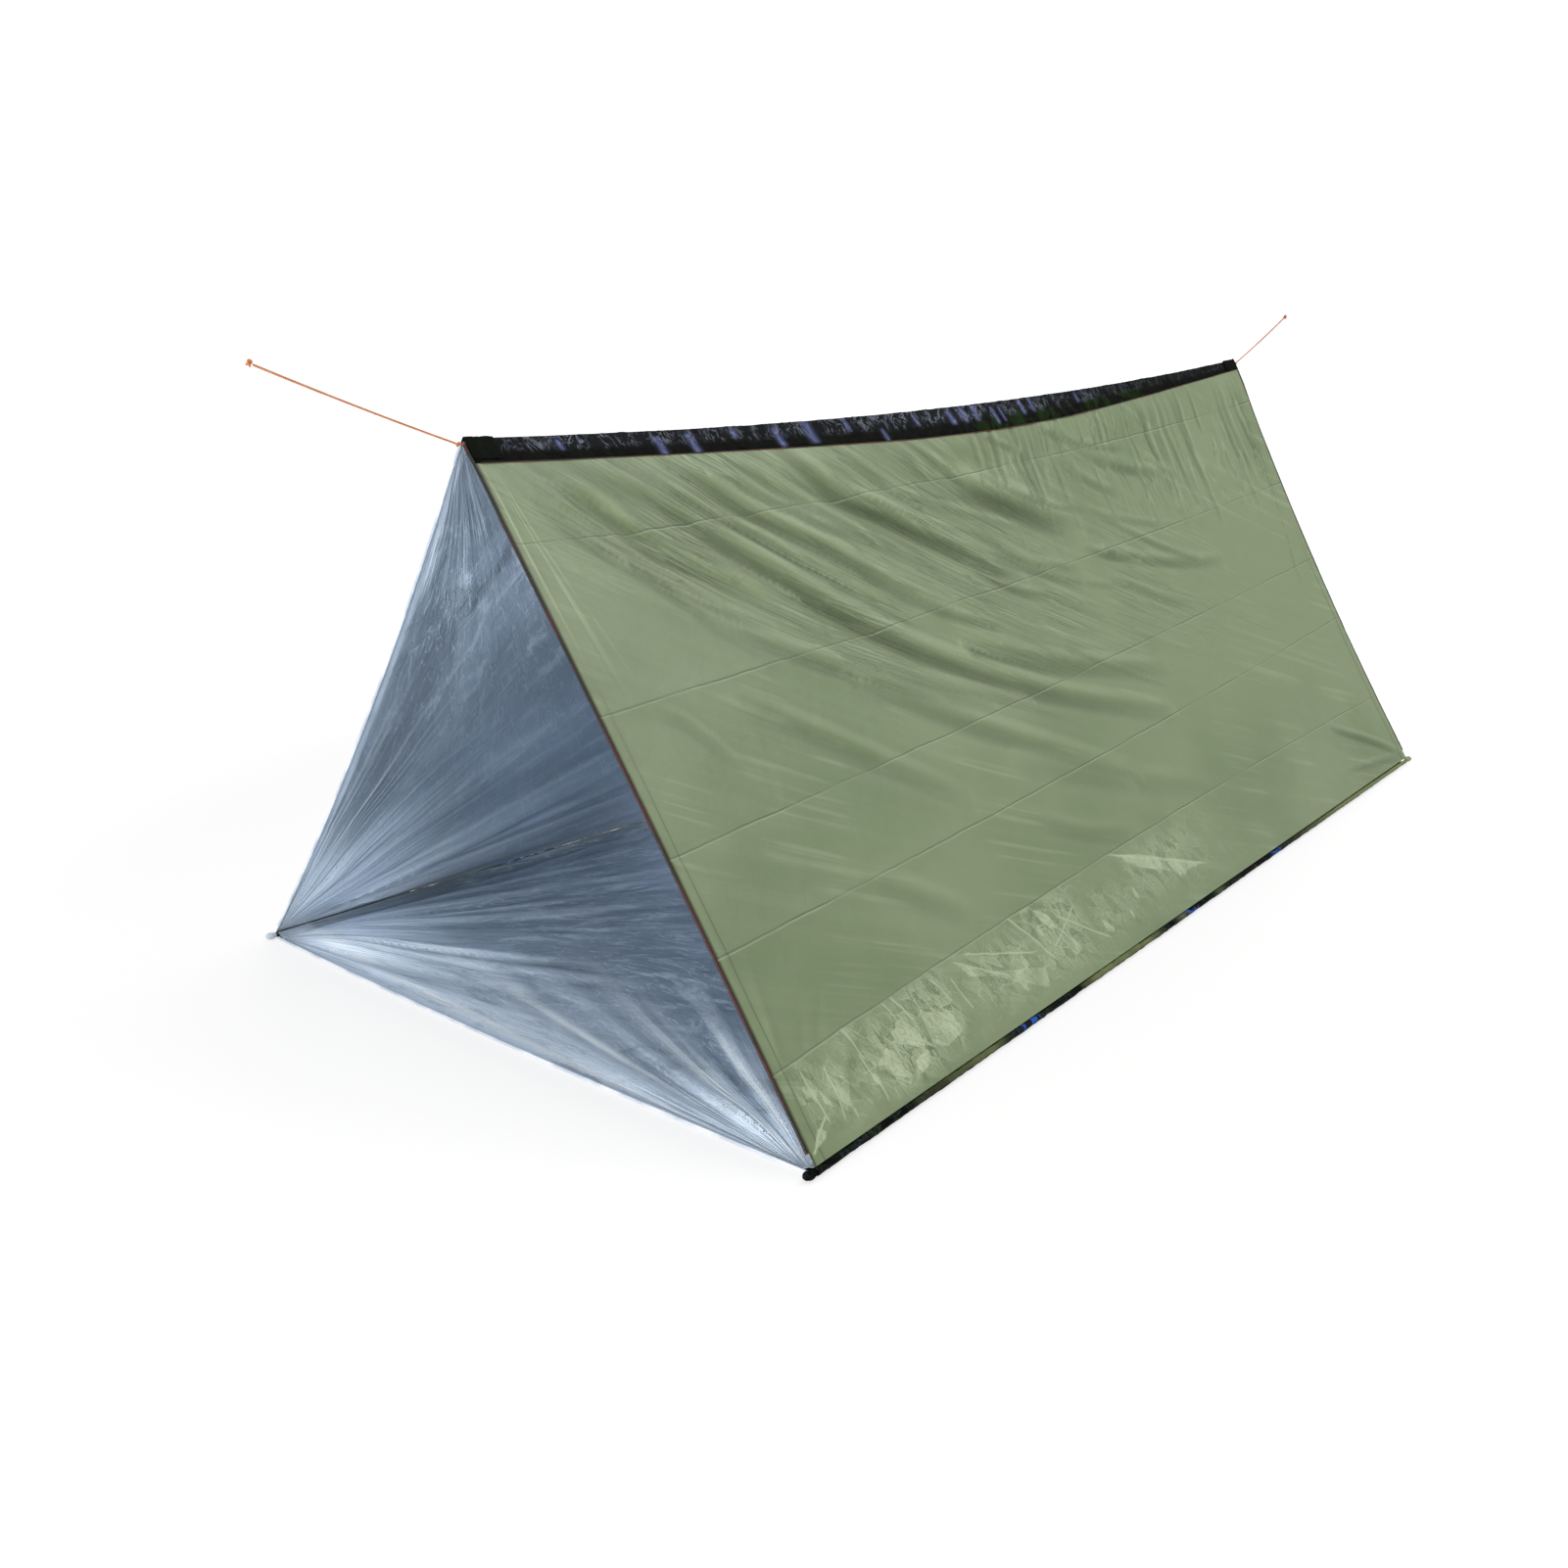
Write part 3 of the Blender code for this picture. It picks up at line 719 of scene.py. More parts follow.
def lineGap(a, b, line):
    # signed distance to a line, positive towards the ridge, and the share of the line that is passed
    best = np.full(a.shape, 1e9)
    signed, passed = np.zeros(a.shape), np.zeros(a.shape)
    for index in range(len(line) - 1):
        run = line[index + 1] - line[index]
        awayA, awayB = a - line[index][0], b - line[index][1]
        share = np.clip((awayA * run[0] + awayB * run[1]) / (run @ run), 0, 1)
        gap = np.hypot(awayA - share * run[0], awayB - share * run[1])
        nearer = gap < best
        side = np.where(run[0] * awayB - run[1] * awayA < 0, 1, -1)
        best = np.where(nearer, gap, best)
        signed = np.where(nearer, side * gap, signed)
        passed = np.where(nearer, (index + share) / (len(line) - 1), passed)
    return signed, passed


def ridgeLine(along):
    sag = tent["ridgeSag"] * 4 * along * (1 - along)
    return np.stack([along * 0, mix(*tent["ridgeEnds"], along), tent["ridgeHeight"] - sag], -1)


def footLine(along, side):
    x, y = side * mix(*tent["halfWidth"], along), mix(*tent["groundEnds"], along)
    return np.stack([x, y, along * 0 + tent["footHeight"]], -1)


def slopeNormal(along, side):
    down = footLine(along, side) - ridgeLine(along)
    normal = np.cross(np.array([0.0, side, 0.0]), down)
    normal = normal / np.linalg.norm(normal, axis=-1, keepdims=True)
    return normal * np.sign(normal[..., 2:3])


def flatPoint(along, down, side):
    ridge = ridgeLine(along)
    ridge[..., 0] = side * tent["ridgeHalfGap"]
    point = mix(ridge, footLine(along, side), down[..., None])
    point[..., 1] += tent["endBow"] * 4 * down * (1 - down) * (1 - 2 * along)
    return point


def slopeAt(along, down, side, lift):
    lift = np.asarray(lift)
    return flatPoint(along, down, side) + slopeNormal(along, side) * lift[..., None]


folds = {
    "width": 0.055,
    "depth": 0.008,
    "lip": 0.55,
    "lipPlace": 1.5,
    "fade": 0.09,
    "slopeScale": 0.90,
    "bandShare": 0.06,
    # each wall's main folds: start, bend and end in hundredths of the ridge's length and the slope's
    1: (
        (3, 2, 12, 24, 30, 40),
        (6, 2, 26, 36, 64, 70),
        (13, 2, 27, 22, 42, 42),
        (24, 2, 36, 20, 52, 38),
        (44, 6, 50, 16, 62, 27),
        (86, 80, 93, 88, 100, 100),
    ),
    -1: (
        (0, 100, 16, 86, 42, 78),
        (0, 100, 10, 74, 26, 52),
        (2, 2, 10, 24, 30, 44),
        (10, 2, 26, 22, 48, 40),
        (2, 2, 5, 34, 12, 62),
        (70, 72, 88, 84, 100, 100),
    ),
    # the right wall's creases: points in thousandths, half width and depth in tenths of a millimetre
    "fineRight": (
        ((42, 35, 93, 138, 150, 225, 215, 300), 170, 45),
        ((62, 35, 144, 130, 196, 213, 274, 335, 337, 423, 460, 554, 613, 678), 210, 85),
        ((110, 40, 160, 110, 215, 185, 290, 280), 140, 40),
        ((156, 47, 207, 124, 269, 204, 327, 287, 390, 370), 170, 60),
        ((215, 45, 250, 100, 300, 170), 120, 30),
        ((275, 47, 316, 127, 361, 175, 439, 268, 497, 345), 190, 70),
        ((330, 47, 372, 115, 410, 170), 120, 30),
        ((470, 150, 520, 190, 600, 275), 300, 75),
        ((250, 400, 330, 480, 430, 560), 160, 30),
        ((130, 300, 200, 380, 280, 460, 380, 540), 180, 35),
        ((400, 440, 500, 520, 640, 600), 200, 40),
        ((127, 438, 205, 544, 295, 671), 200, 28),
        ((248, 446, 361, 580, 514, 754), 220, 32),
        ((50, 420, 69, 448, 93, 521), 120, 18),
        ((361, 748, 413, 810, 469, 844), 180, 16),
        ((160, 735, 197, 783, 235, 842), 220, 20),
        ((386, 665, 495, 752, 601, 835), 240, 17),
        ((880, 860, 940, 920, 994, 992), 100, 50),
        ((860, 955, 930, 975, 992, 995), 90, 25),
    ),
}


def creasePress(a, b, creases):
    # narrow valleys with a rounded lip on the ridge side; also gives, for the finish, the distances
    # to the nearest valley and lip in crease widths, and how deep the crease is there
    total, valley, lip, weight = (np.full(a.shape, level) for level in (0.0, 9.0, 9.0, 0.0))
    for line, width, depth in creases:
        low, high = line.min(0) - 5 * width, line.max(0) + 5 * width
        near = (a > low[0]) & (a < high[0]) & (b > low[1]) & (b < high[1])
        gap, passed = lineGap(a[near], b[near], line)
        gap = gap / width
        strength = np.sin(math.pi * mix(0.04, 0.97, passed)) ** 0.7
        total[near] -= depth * strength * (bell(gap) - 0.6 * bell(gap - 1.6))
        closer = np.abs(gap - 0.8) < np.minimum(valley[near], lip[near])
        weight[near] = np.where(closer, strength * depth, weight[near])
        valley[near] = np.minimum(valley[near], np.abs(gap))
        lip[near] = np.minimum(lip[near], np.abs(gap - 1.7))
    return total, valley, lip, weight


def shardGap(a, b, facets):
    # distance outside the nearest of many flat painted glint facets, below zero inside one
    nearest = np.full(a.shape, belt["farGap"])
    for corners in facets:
        runs = np.roll(corners, -1, 0) - corners
        if runs[0][0] * runs[1][1] - runs[0][1] * runs[1][0] < 0:
            corners = corners[::-1]
            runs = np.roll(corners, -1, 0) - corners
        gap = np.full(a.shape, -1.0)
        for corner, run in zip(corners, runs):
            gap = np.maximum(gap, ((a - corner[0]) * run[1] - (b - corner[1]) * run[0]) / np.hypot(*run))
        nearest = np.minimum(nearest, gap)
    return nearest


def beltMarks(a, b):
    # the belt's painted glint facets, given and strewn, and its finely wrinkled patches that get painted
    # shade and highlight lines
    random = np.random.default_rng(belt["seed"])
    facets = [pairs(shard, 1000) for shard in belt["shards"]]
    patches = np.array(belt["patches"]) / 1000
    for index in range(belt["scattered"]):
        centre, down, half, tall, _ = patches[index % len(patches)]
        spot = np.array([centre + random.uniform(-1, 1) * half, down + random.uniform(-0.8, 0.6) * tall])
        lean, length = math.radians(random.uniform(50, 95)), random.uniform(0.022, 0.045)
        run, off = np.array([math.cos(lean), math.sin(lean)]), np.array([-math.sin(lean), math.cos(lean)])
        tip = spot + run * length * 0.5 + off * length * random.uniform(0.24, 0.4)
        facets.append(np.array([spot, spot + run * length, tip]))
    wrinkled = np.zeros(a.shape)
    for centre, down, half, tall, strength in patches:
        inside = np.exp(-(((a - centre) / half) ** 4) - ((b - down) / tall) ** 4)
        wrinkled = np.maximum(wrinkled, strength * inside)
    return {"shardGap": shardGap(a, b, facets), "wrinkled": wrinkled, "belted": a * 0 + 1}


def mainFolds(along, down, side):
    scale = (ridgeLength, folds["slopeScale"])
    a, b = along * scale[0], down * scale[1]
    fromBand, fromFoot = (down - folds["bandShare"]) * scale[1], (1 - down) * scale[1]
    edge = np.minimum.reduce([a, ridgeLength - a, fromBand, fromFoot])
    total = 0
    for fold in folds[side]:
        gap, passed = lineGap(a, b, bentLine(*(pairs(fold, 100) * scale)))
        strength = np.sin(math.pi * mix(0.08, 0.98, passed))
        lip = bell(gap / folds["width"] - folds["lipPlace"])
        total = total - folds["depth"] * strength * (bell(gap, folds["width"]) - folds["lip"] * lip)
    return smooth(0, folds["fade"], edge) * total


def slopeSag(along, down):
    tight = mix(tent["endSagShare"], 1, 4 * along * (1 - along))
    return -tent["slopeSag"] * 4 * down * (1 - down) * tight * smooth(0.045, 0.125, down)


def fanFolds(a, b, corner, count, turns, reaches, widths, depths, crestShare, seed):
    # creases that spread from one corner of a sheet, each with its own length, width and depth
    random = np.random.default_rng(seed)
    total, crest = np.zeros(a.shape), np.zeros(a.shape)
    awayA, awayB = a - corner[0], b - corner[1]
    for _ in range(count):
        turn = math.radians(random.uniform(*turns))
        reach, width, depth = (random.uniform(*limits) for limits in (reaches, widths, depths))
        sign = 1 if random.random() < crestShare else -1
        run = awayA * math.cos(turn) + awayB * math.sin(turn)
        off = awayB * math.cos(turn) - awayA * math.sin(turn)
        wide = np.maximum(width * (0.25 + 0.75 * np.clip(run / reach, 0, 1)), 0.0075)
        bump = smooth(0, 0.15 * reach, run) * (1 - smooth(0.45 * reach, reach, run)) * bell(off, wide)
        total += sign * depth * bump
        crest += sign * bump
    calm = smooth(0.03, 0.22, np.hypot(awayA, awayB))
    return total * calm, crest * calm


def crumplePress(a, b, size, seed):
    # flat facets that meet in sharp edges: triangle waves laid over each other
    random = np.random.default_rng(seed)
    total = 0
    for index in range(4):
        turn = random.uniform(0, math.pi)
        wave = size * random.uniform(0.7, 1.5)
        shift = softNoise(a, b, (size * 2.2, size * 2.2), seed + 11 * index) * 0.8
        phase = (a * math.cos(turn) + b * math.sin(turn)) / wave + shift + random.uniform(0, 1)
        total = total + np.abs(phase % 1 - 0.5) * 4 - 1
    return total / 4


slopes = {
    "cells": {1: (318, 148), -1: (260, 120)},
    "frontCrowd": 1.12,
    # how far each ply's face and back lie out from the middle of the sheet
    "plies": {"Film": (0.0004, -0.0002), "Foil": (-0.0009, -0.0005)},
    "flat": (1.13, 2.30),
    "bandFoot": 0.045,
    # height and size of the fine grain along the folds, of the lumps and of the belt's crumples
    "grain": (0.0011, (0.34, 0.026)),
    "lumps": (0.0008, (0.15, 0.11)),
    "crumple": (0.0034, 0.062),
    # height of the packing creases along and across the sheet
    "packed": (0.0016, 0.0005),
    "hemStep": 0.0008,
    "foilHemStep": 0.0006,
    # degrees from the ground edge, half width, length and darkness of the painted shade in each hollow of the
    # foil
    "hollows": (
        (-3.0, 2.2, 1.9, 0.2),
        (-8.5, 1.6, 1.3, 0.35),
        (-15.0, 1.8, 1.0, 0.25),
        (-22.0, 1.4, 0.8, 0.25),
    ),
    # how many small creases lie between the main folds, under the band's rear half and by the rear end
    "small": {"between": 46, "hanging": 46, "rear": 6, "seed": 71},
}
frontFoot, rearFoot = (0, slopeLength), (ridgeLength, slopeLength)

# Creases that spread from a sheet's corners: the corner along and down the sheet, how many, and the limits
# of their degrees, lengths, half widths and depths; then the share that stands up, and the seed
fans = {
    1: (
        (frontFoot, 14, (-86, -10), (0.1, 0.34), (0.006, 0.014), (0.001, 0.003), 0.5, 5),
        (rearFoot, 12, (185, 262), (0.1, 0.4), (0.008, 0.018), (0.001, 0.0034), 0.5, 6),
    ),
    -1: (
        (frontFoot, 26, (-80, -30), (0.12, 0.42), (0.010, 0.020), (0.001, 0.0030), 0.5, 15),
        (frontFoot, 24, (-28, -2), (0.35, 1.5), (0.014, 0.040), (0.0015, 0.0055), 0.5, 17),
        ((0, 0.0), 20, (66, 89), (0.3, 0.9), (0.008, 0.018), (0.0006, 0.0020), 0.5, 16),
        (rearFoot, 12, (185, 262), (0.1, 0.4), (0.008, 0.018), (0.001, 0.0034), 0.5, 6),
    ),
}


def smallCreases():
    small, foot = slopes["small"], slopes["bandFoot"]
    random = np.random.default_rng(small["seed"])
    lines = []
    for _ in range(small["between"]):
        start = np.array([random.uniform(0.02, 1.6), random.uniform(0.03, 0.62)])
        if start[1] > 0.12 + 0.42 * start[0]:
            start[1] = random.uniform(0.03, 0.12)
        lean, reach = math.radians(random.uniform(28, 50) - 12 * start[0]), random.uniform(0.16, 0.48)
        end = start + reach * np.array([math.cos(lean), math.sin(lean)])
        middle = (start + end) / 2 + reach * random.uniform(0.05, 0.2) * np.array([-0.3, 0.6])
        line = bentLine(start, middle, end, 8)
        lines.append((line, random.uniform(0.007, 0.014), random.uniform(0.0008, 0.0024)))
    for _ in range(small["hanging"]):
        top = random.uniform(0.50, 0.98) * ridgeLength
        reach = random.uniform(0.05, 0.34)
        end = (min(top + random.uniform(-0.05, 0.12) * reach, ridgeLength - 0.02), foot + reach)
        middle = ((top + end[0]) / 2 + random.uniform(-0.004, 0.004), foot + reach / 2)
        line = bentLine((top, foot), middle, end, 4)
        lines.append((line, random.uniform(0.005, 0.009), random.uniform(0.0008, 0.0024)))
    for _ in range(small["rear"]):
        top, reach = random.uniform(0.006, 0.03), random.uniform(0.22, 0.62)
        points = [
            (ridgeLength - (top + random.uniform(0.02, 0.085) * share * share), 0.03 + reach * share)
            for share in (0, 0.5, 1)
        ]
        line = bentLine(*points, 6)
        lines.append((line, random.uniform(0.005, 0.008), random.uniform(-0.0022, 0.0018)))
    return lines


def packedPanels(a, b):
    # the sheet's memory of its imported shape: each crease stands up or down a little
    total = np.zeros(a.shape)
    lengthwise, crosswise = slopes["packed"]
    for index, crease in enumerate(oliveLook["creases"]):
        gap = np.abs(b - creaseDown(a, *crease))
        total += (1 if index % 2 else -1) * lengthwise * np.exp(-gap / 0.016)
    for index in range(1, 8):
        gap = np.abs(a - ridgeLength * index / 8 + 0.01 * softNoise(b, a, (0.3, 0.3), 90 + index))
        total += (1 if index % 2 else -1) * crosswise * np.exp(-gap / 0.012)
    return total


def slopeRelief(along, down, side):
    # how far the sheet lies in or out from the straight slope, and what the finishes read from it
    a, b = along * ridgeLength, down * slopeLength
    detail, crest = np.zeros(a.shape), np.zeros(a.shape)
    reach = slopeLength * (1 - down)
    fromEnd = np.minimum(a, ridgeLength - a)
    marks = {}
    if side > 0:
        main = [
            (throughLine(pairs(points, 1000) * (ridgeLength, slopeLength)), width / 10000, depth / 10000)
            for points, width, depth in folds["fineRight"]
        ]
        for name, creases in (("main", main), ("small", smallCreases())):
            press, *readings = creasePress(a, b, creases)
            marks.update(zip((name + "Valley", name + "Lip", name + "Weight"), readings))
            detail += press
    for fan in fans[side]:
        press, up = fanFolds(a, b, *fan)
        detail += press
        crest += up
    detail += packedPanels(a, b)
    height, size = slopes["grain"]
    slant = (0.88 * a + 0.47 * b, 0.88 * b - 0.47 * a)
    detail += height * softNoise(*slant, size, 21 + side) * smooth(0.05, 0.3, a)
    height, size = slopes["lumps"]
    detail += height * layeredNoise(a, b, size, 31 + side)
    height, size = slopes["crumple"]
    fromBelt = b - creaseDown(a, *oliveLook["creases"][-1]) + 0.004 * softNoise(a, b, (0.1, 0.1), 52)
    patchy = 0.5 + 0.5 * softNoise(a, b, (0.15, 0.5), 51 + side)
    crumple = smooth(-0.002, 0.012, fromBelt) * smooth(0.004, 0.02, reach)
    crumple = crumple * smooth(0.03, 0.1, a) * (1 - smooth(1.3, 1.5, a))
    crumple = crumple * mix(0.3, 1, smooth(0.3, 0.55, patchy)) * (side > 0)
    detail += height * crumple * crumplePress(a, b, size, 61 + side)
    detail = detail * smooth(0, 0.012, fromEnd) * smooth(0.0, 0.02, reach)
    # under the band the sheet only goes inwards
    detail = np.where(down < 0.075, mix(np.minimum(detail, 0), detail, smooth(0.05, 0.075, down)), detail)
    detail = detail * smooth(0.02, 0.05, down)
    hem = slopes["hemStep"] * (1 - smooth(0.018, 0.023, fromEnd)) * smooth(0.07, 0.1, down)
    relief = slopeSag(along, down) + mainFolds(along, down, side) + detail + hem
    # where painted glint flecks are strewn
    fleck = smooth(0.25, 0.6, softNoise(a, b, (0.5, 0.35), 81)) * smooth(0.6, 1.1, a)
    marks.update(crumple=crumple, fleck=fleck, crest=crest)
    marks.update(beltMarks(a, b) if side > 0 else plainMarks(a))
    return relief, marks


def plainMarks(a):
    # a sheet without the belt
    return {"shardGap": a * 0 + belt["farGap"], "wrinkled": a * 0, "belted": a * 0}


def fanPlace(a, b, corner):
    awayA, awayB = a - corner[0], b - corner[1]
    return np.arctan2(awayB, awayA + 1e-4), np.hypot(awayA, awayB)


def hollowShade(turn, reach, hollows, starts):
    # painted shade in hollows that run out of a ground corner
    total = np.zeros(turn.shape)
    for place, half, length, dark in hollows:
        tail = 1 - smooth(0.6 * length, length, reach)
        total += dark * bell(np.degrees(turn) - place, half) * smooth(*starts, reach) * tail
    return total


def foilMarks(a, b, down):
    firstTurn, firstReach = fanPlace(a, b, frontFoot)
    secondTurn, secondReach = fanPlace(a, b, (0, 0))
    degrees = np.degrees(firstTurn)
    # painted shade in the hollows and in a strip by the front edge, and painted light near the front ground
    # corner, along the front edge, low down and on a patch near the front; glare is a painted highlight
    hollows = hollowShade(firstTurn, firstReach, slopes["hollows"], (0.03, 0.2))
    gloom = 0.8 * bell(a - 0.075, 0.06) * smooth(0.92, 0.7, down) * smooth(0.18, 0.34, down)
    patch = bell(a - 0.14, 0.16) * bell(b - 0.27, 0.2)
    pale = 0.9 * (1 - smooth(0.0, 0.5, firstReach))
    pale = pale + 0.2 * smooth(0.62, 0.95, down) * (1 - smooth(0.5, 1.6, a))
    pale = pale + 0.8 * smooth(0.5, 1.2, a) * smooth(0.6, 0.9, down) + 0.4 * patch
    pale = pale + 0.75 * (1 - smooth(0.008, 0.015, a))
    pale = pale - 0.2 * bell(a - 0.06, 0.06) * smooth(0.9, 0.6, down)
    return {
        "firstTurn": firstTurn,
        "firstReach": firstReach,
        "secondTurn": secondTurn + 4,
        "secondReach": secondReach * 1.6,
        "nearFirst": smooth(0.35, 0.75, down + 0.05 * softNoise(a, b, (0.2, 0.2), 91)),
        "pale": pale,
        "fold": np.clip(hollows + gloom, 0, 1),
        "crinkled": 0.3 + patch,
        "beamTurn": firstTurn * 38,
        "hairTurn": secondTurn * 34,
        "hairReach": secondReach * 7,
        "glare": bell(firstReach, 0.4) * (smooth(-60, -80, degrees) + smooth(-14, -4, degrees)),
    }


def buildSlope(side, sideName):
    columns, rows = slopes["cells"][side]
    stations = np.linspace(0, 1, columns + 1) ** slopes["frontCrowd"]
    along, down = gridOf(stations, np.linspace(0, 1, rows + 1))
    relief, marks = slopeRelief(along, down, side)
    a, b = along * ridgeLength, down * slopeLength
    hem = slopes["foilHemStep"] * (1 - smooth(0.014, 0.018, a)) * smooth(0.07, 0.1, down)
    for ply, finish, inward, more in (("Film", "olive", 0, {}), ("Foil", "foil", hem, foilMarks(a, b, down))):
        face, back = (slopeAt(along, down, side, relief - inward + out) for out in slopes["plies"][ply])
        mesh = shellMesh(f"{sideName}Slope{ply}", face, back, np.stack([a, b], -1), {**marks, **more})
        piece = addPiece(mesh, finish, flattens=True)


for side, sideName in sides:
    buildSlope(side, sideName)
print("slopes hung")

floorFacts = {
    "cells": (180, 250),
    "frontCrowd": 1.1,
    "filmCells": (24, 8),
    "filmInset": 0.0006,
    "foilInset": 0.0032,
    "filmThickness": 0.0008,
    "foilThickness": 0.0004,
    "plyGap": 0.0003,
    "rimHeight": 0.0100,
    "rimReach": 0.026,
    # lowest ceiling over the floor's ribs and how fast it rises inwards, to let the walls come down
    "ceiling": (0.0075, 0.12),
    # degrees from the front edge, half width, length and darkness of each hollow's painted shade
    "hollows": (
        (88.0, 3.0, 1.5, 0.3),
        (80.5, 2.4, 1.2, 0.3),
        (73.0, 1.6, 1.1, 0.25),
        (64.0, 1.2, 1.0, 0.2),
    ),
    "foldWidth": 0.085,
    "foldHeight": 0.010,
    # start, bend and end, in hundredths of half the width and of the length
    "folds": (
        (-100, 0, -55, 10, 10, 16),
        (-100, 0, -60, 24, -10, 42),
        (-100, 0, -72, 42, -45, 80),
        (100, 0, 55, 16, 0, 30),
        (100, 0, 68, 34, 40, 66),
    ),
    # as the walls' fans, with the corner as the side and the end
    "fans": (
        ((-1, 0), 54, (4, 84), (0.3, 1.1), (0.010, 0.026), (0.002, 0.0065), 0.62, 25),
        ((1, 0), 44, (96, 176), (0.3, 1.2), (0.010, 0.026), (0.002, 0.0065), 0.62, 26),
        ((-1, 1), 16, (-80, -10), (0.2, 0.8), (0.012, 0.03), (0.002, 0.005), 0.6, 27),
        ((1, 1), 16, (190, 260), (0.2, 0.8), (0.012, 0.03), (0.002, 0.005), 0.6, 28),
    ),
    "flat": (1.47, 2.27),
    "area": 2.9,
}


def floorEdge(across, along):
    y = mix(*tent["groundEnds"], along) + tent["endBow"] * (1 - across**2) * (2 * along - 1)
    return across * mix(*tent["halfWidth"], along), y


def floorRelief(facts, across, along, a, b, scale):
    # how high the foil stands, and how much of that is crest
    half, length = mix(*tent["halfWidth"], along), scale[1]
    fromSide = (1 - np.abs(across)) * half
    ribs = 0
    for fold in facts["folds"]:
        gap, _ = lineGap(a, b, bentLine(*(pairs(fold, 100) * scale)))
        ribs = ribs + bell(gap, facts["foldWidth"])
    edge = np.minimum.reduce([fromSide, b, length - b])
    height = smooth(0, 0.09, edge) * facts["foldHeight"] * ribs
    crest = np.zeros(a.shape)
    detail = 0.0016 * layeredNoise(a, b, (0.12, 0.1), 35)
    for corner, *fan in facts["fans"]:
        press, up = fanFolds(a, b, np.array(corner) * scale, *fan)
        detail, crest = detail + press, crest + up
    height = height + np.maximum(detail, -0.6 * height - 0.0004) * smooth(0, 0.035, edge)
    height = np.maximum(height, 0) * smooth(0.0, 0.04, fromSide)
    # kept low enough for the walls to come down over it, and turned up beside them over the ground seams
    inward = (1 - np.abs(across)) * (half - facts["foilInset"])
    ceiling = facts["ceiling"][0] + facts["ceiling"][1] * inward
    height = ceiling * np.tanh(height / ceiling)
    return height + facts["rimHeight"] * smooth(facts["rimReach"], 0.0008, inward), crest


def floorMarks(facts, a, b, crest, wide):
    firstTurn, firstReach = fanPlace(a, b, (-wide, 0))
    mirrorTurn, secondReach = fanPlace(-a, b, (-wide, 0))
    # painted shade in the hollows, across the middle and along the left edge under the wall, and painted
    # light towards the rear, along the front and near both front corners; glare is a painted highlight along
    # the front
    hollows = hollowShade(firstTurn, firstReach, facts["hollows"], (0.04, 0.25))
    frontPale = 1 - smooth(0.0, 0.3, b + 0.06 * softNoise(a, b, (0.24, 0.1), 36))
    pale = 0.75 * smooth(0.45, 1.1, b) + 0.6 * frontPale + 0.3 * smooth(0.09, 0.02, b)
    pale = pale + 0.3 * smooth(0.42, 0.0, secondReach) + 0.5 * smooth(0.5, 0.0, firstReach)
    gloom = 0.4 * smooth(0.12, 0.28, b) * smooth(0.62, 0.35, b)
    corner = 0.85 * smooth(0.05, 0.02, wide + a) * smooth(0.03, 0.06, b)
    return {
        "crest": crest,
        "pale": pale,
        "beamTurn": mirrorTurn * 17 + 3,
        "hairTurn": (firstTurn + 0.22 * firstReach**2) * 34,
        "hairReach": firstReach * 7,
        "glare": np.clip(smooth(0.34, 0.05, b) * smooth(-0.6, 0.3, a) + 0.75 * smooth(0.14, 0.03, b), 0, 1),
        "firstTurn": firstTurn,
        "firstReach": firstReach,
        "secondTurn": mirrorTurn + 9,
        "secondReach": secondReach,
        "nearFirst": smooth(-0.1, 0.25, secondReach - firstReach),
        "fold": np.clip(hollows + gloom + corner, 0, 1),
        "crinkled": 0.25 + 0.6 * smooth(0.15, 0.5, firstReach),
    }


def buildFloor(facts):
    length = tent["groundEnds"][1] - tent["groundEnds"][0]
    wide = tent["halfWidth"][0]
    columns, rows = facts["cells"]
    stations = np.linspace(0, 1, rows + 1) ** facts["frontCrowd"]
    across, along = gridOf(np.linspace(-1, 1, columns + 1), stations)
    a, b = across * wide, along * length
    height, crest = floorRelief(facts, across, along, a, b, (wide, length))
    x, y = across * (mix(*tent["halfWidth"], along) - facts["foilInset"]), floorEdge(across, along)[1]
    base = facts["filmThickness"] + facts["plyGap"]
    face, back = (np.stack([x, y, base + thick + height], -1) for thick in (facts["foilThickness"], 0))
    foil = shellMesh("floorFoil", face, back, np.stack([a, b], -1), floorMarks(facts, a, b, crest, wide))
    addPiece(foil, "foil")

    columns, rows = facts["filmCells"]
    across, along = gridOf(np.linspace(-1, 1, columns + 1), np.linspace(0, 1, rows + 1))
    x, y = across * (mix(*tent["halfWidth"], along) - facts["filmInset"]), floorEdge(across, along)[1]
    top, bottom = (np.stack([x, y, x * 0 + level], -1) for level in (facts["filmThickness"], 0.0))
    film = shellMesh("floorFilm", top, bottom, np.stack([x, y], -1), {"lift": x * 0, "glint": x * 0})
    addPiece(film, "ground")


buildFloor(floorFacts)
print("floor laid")

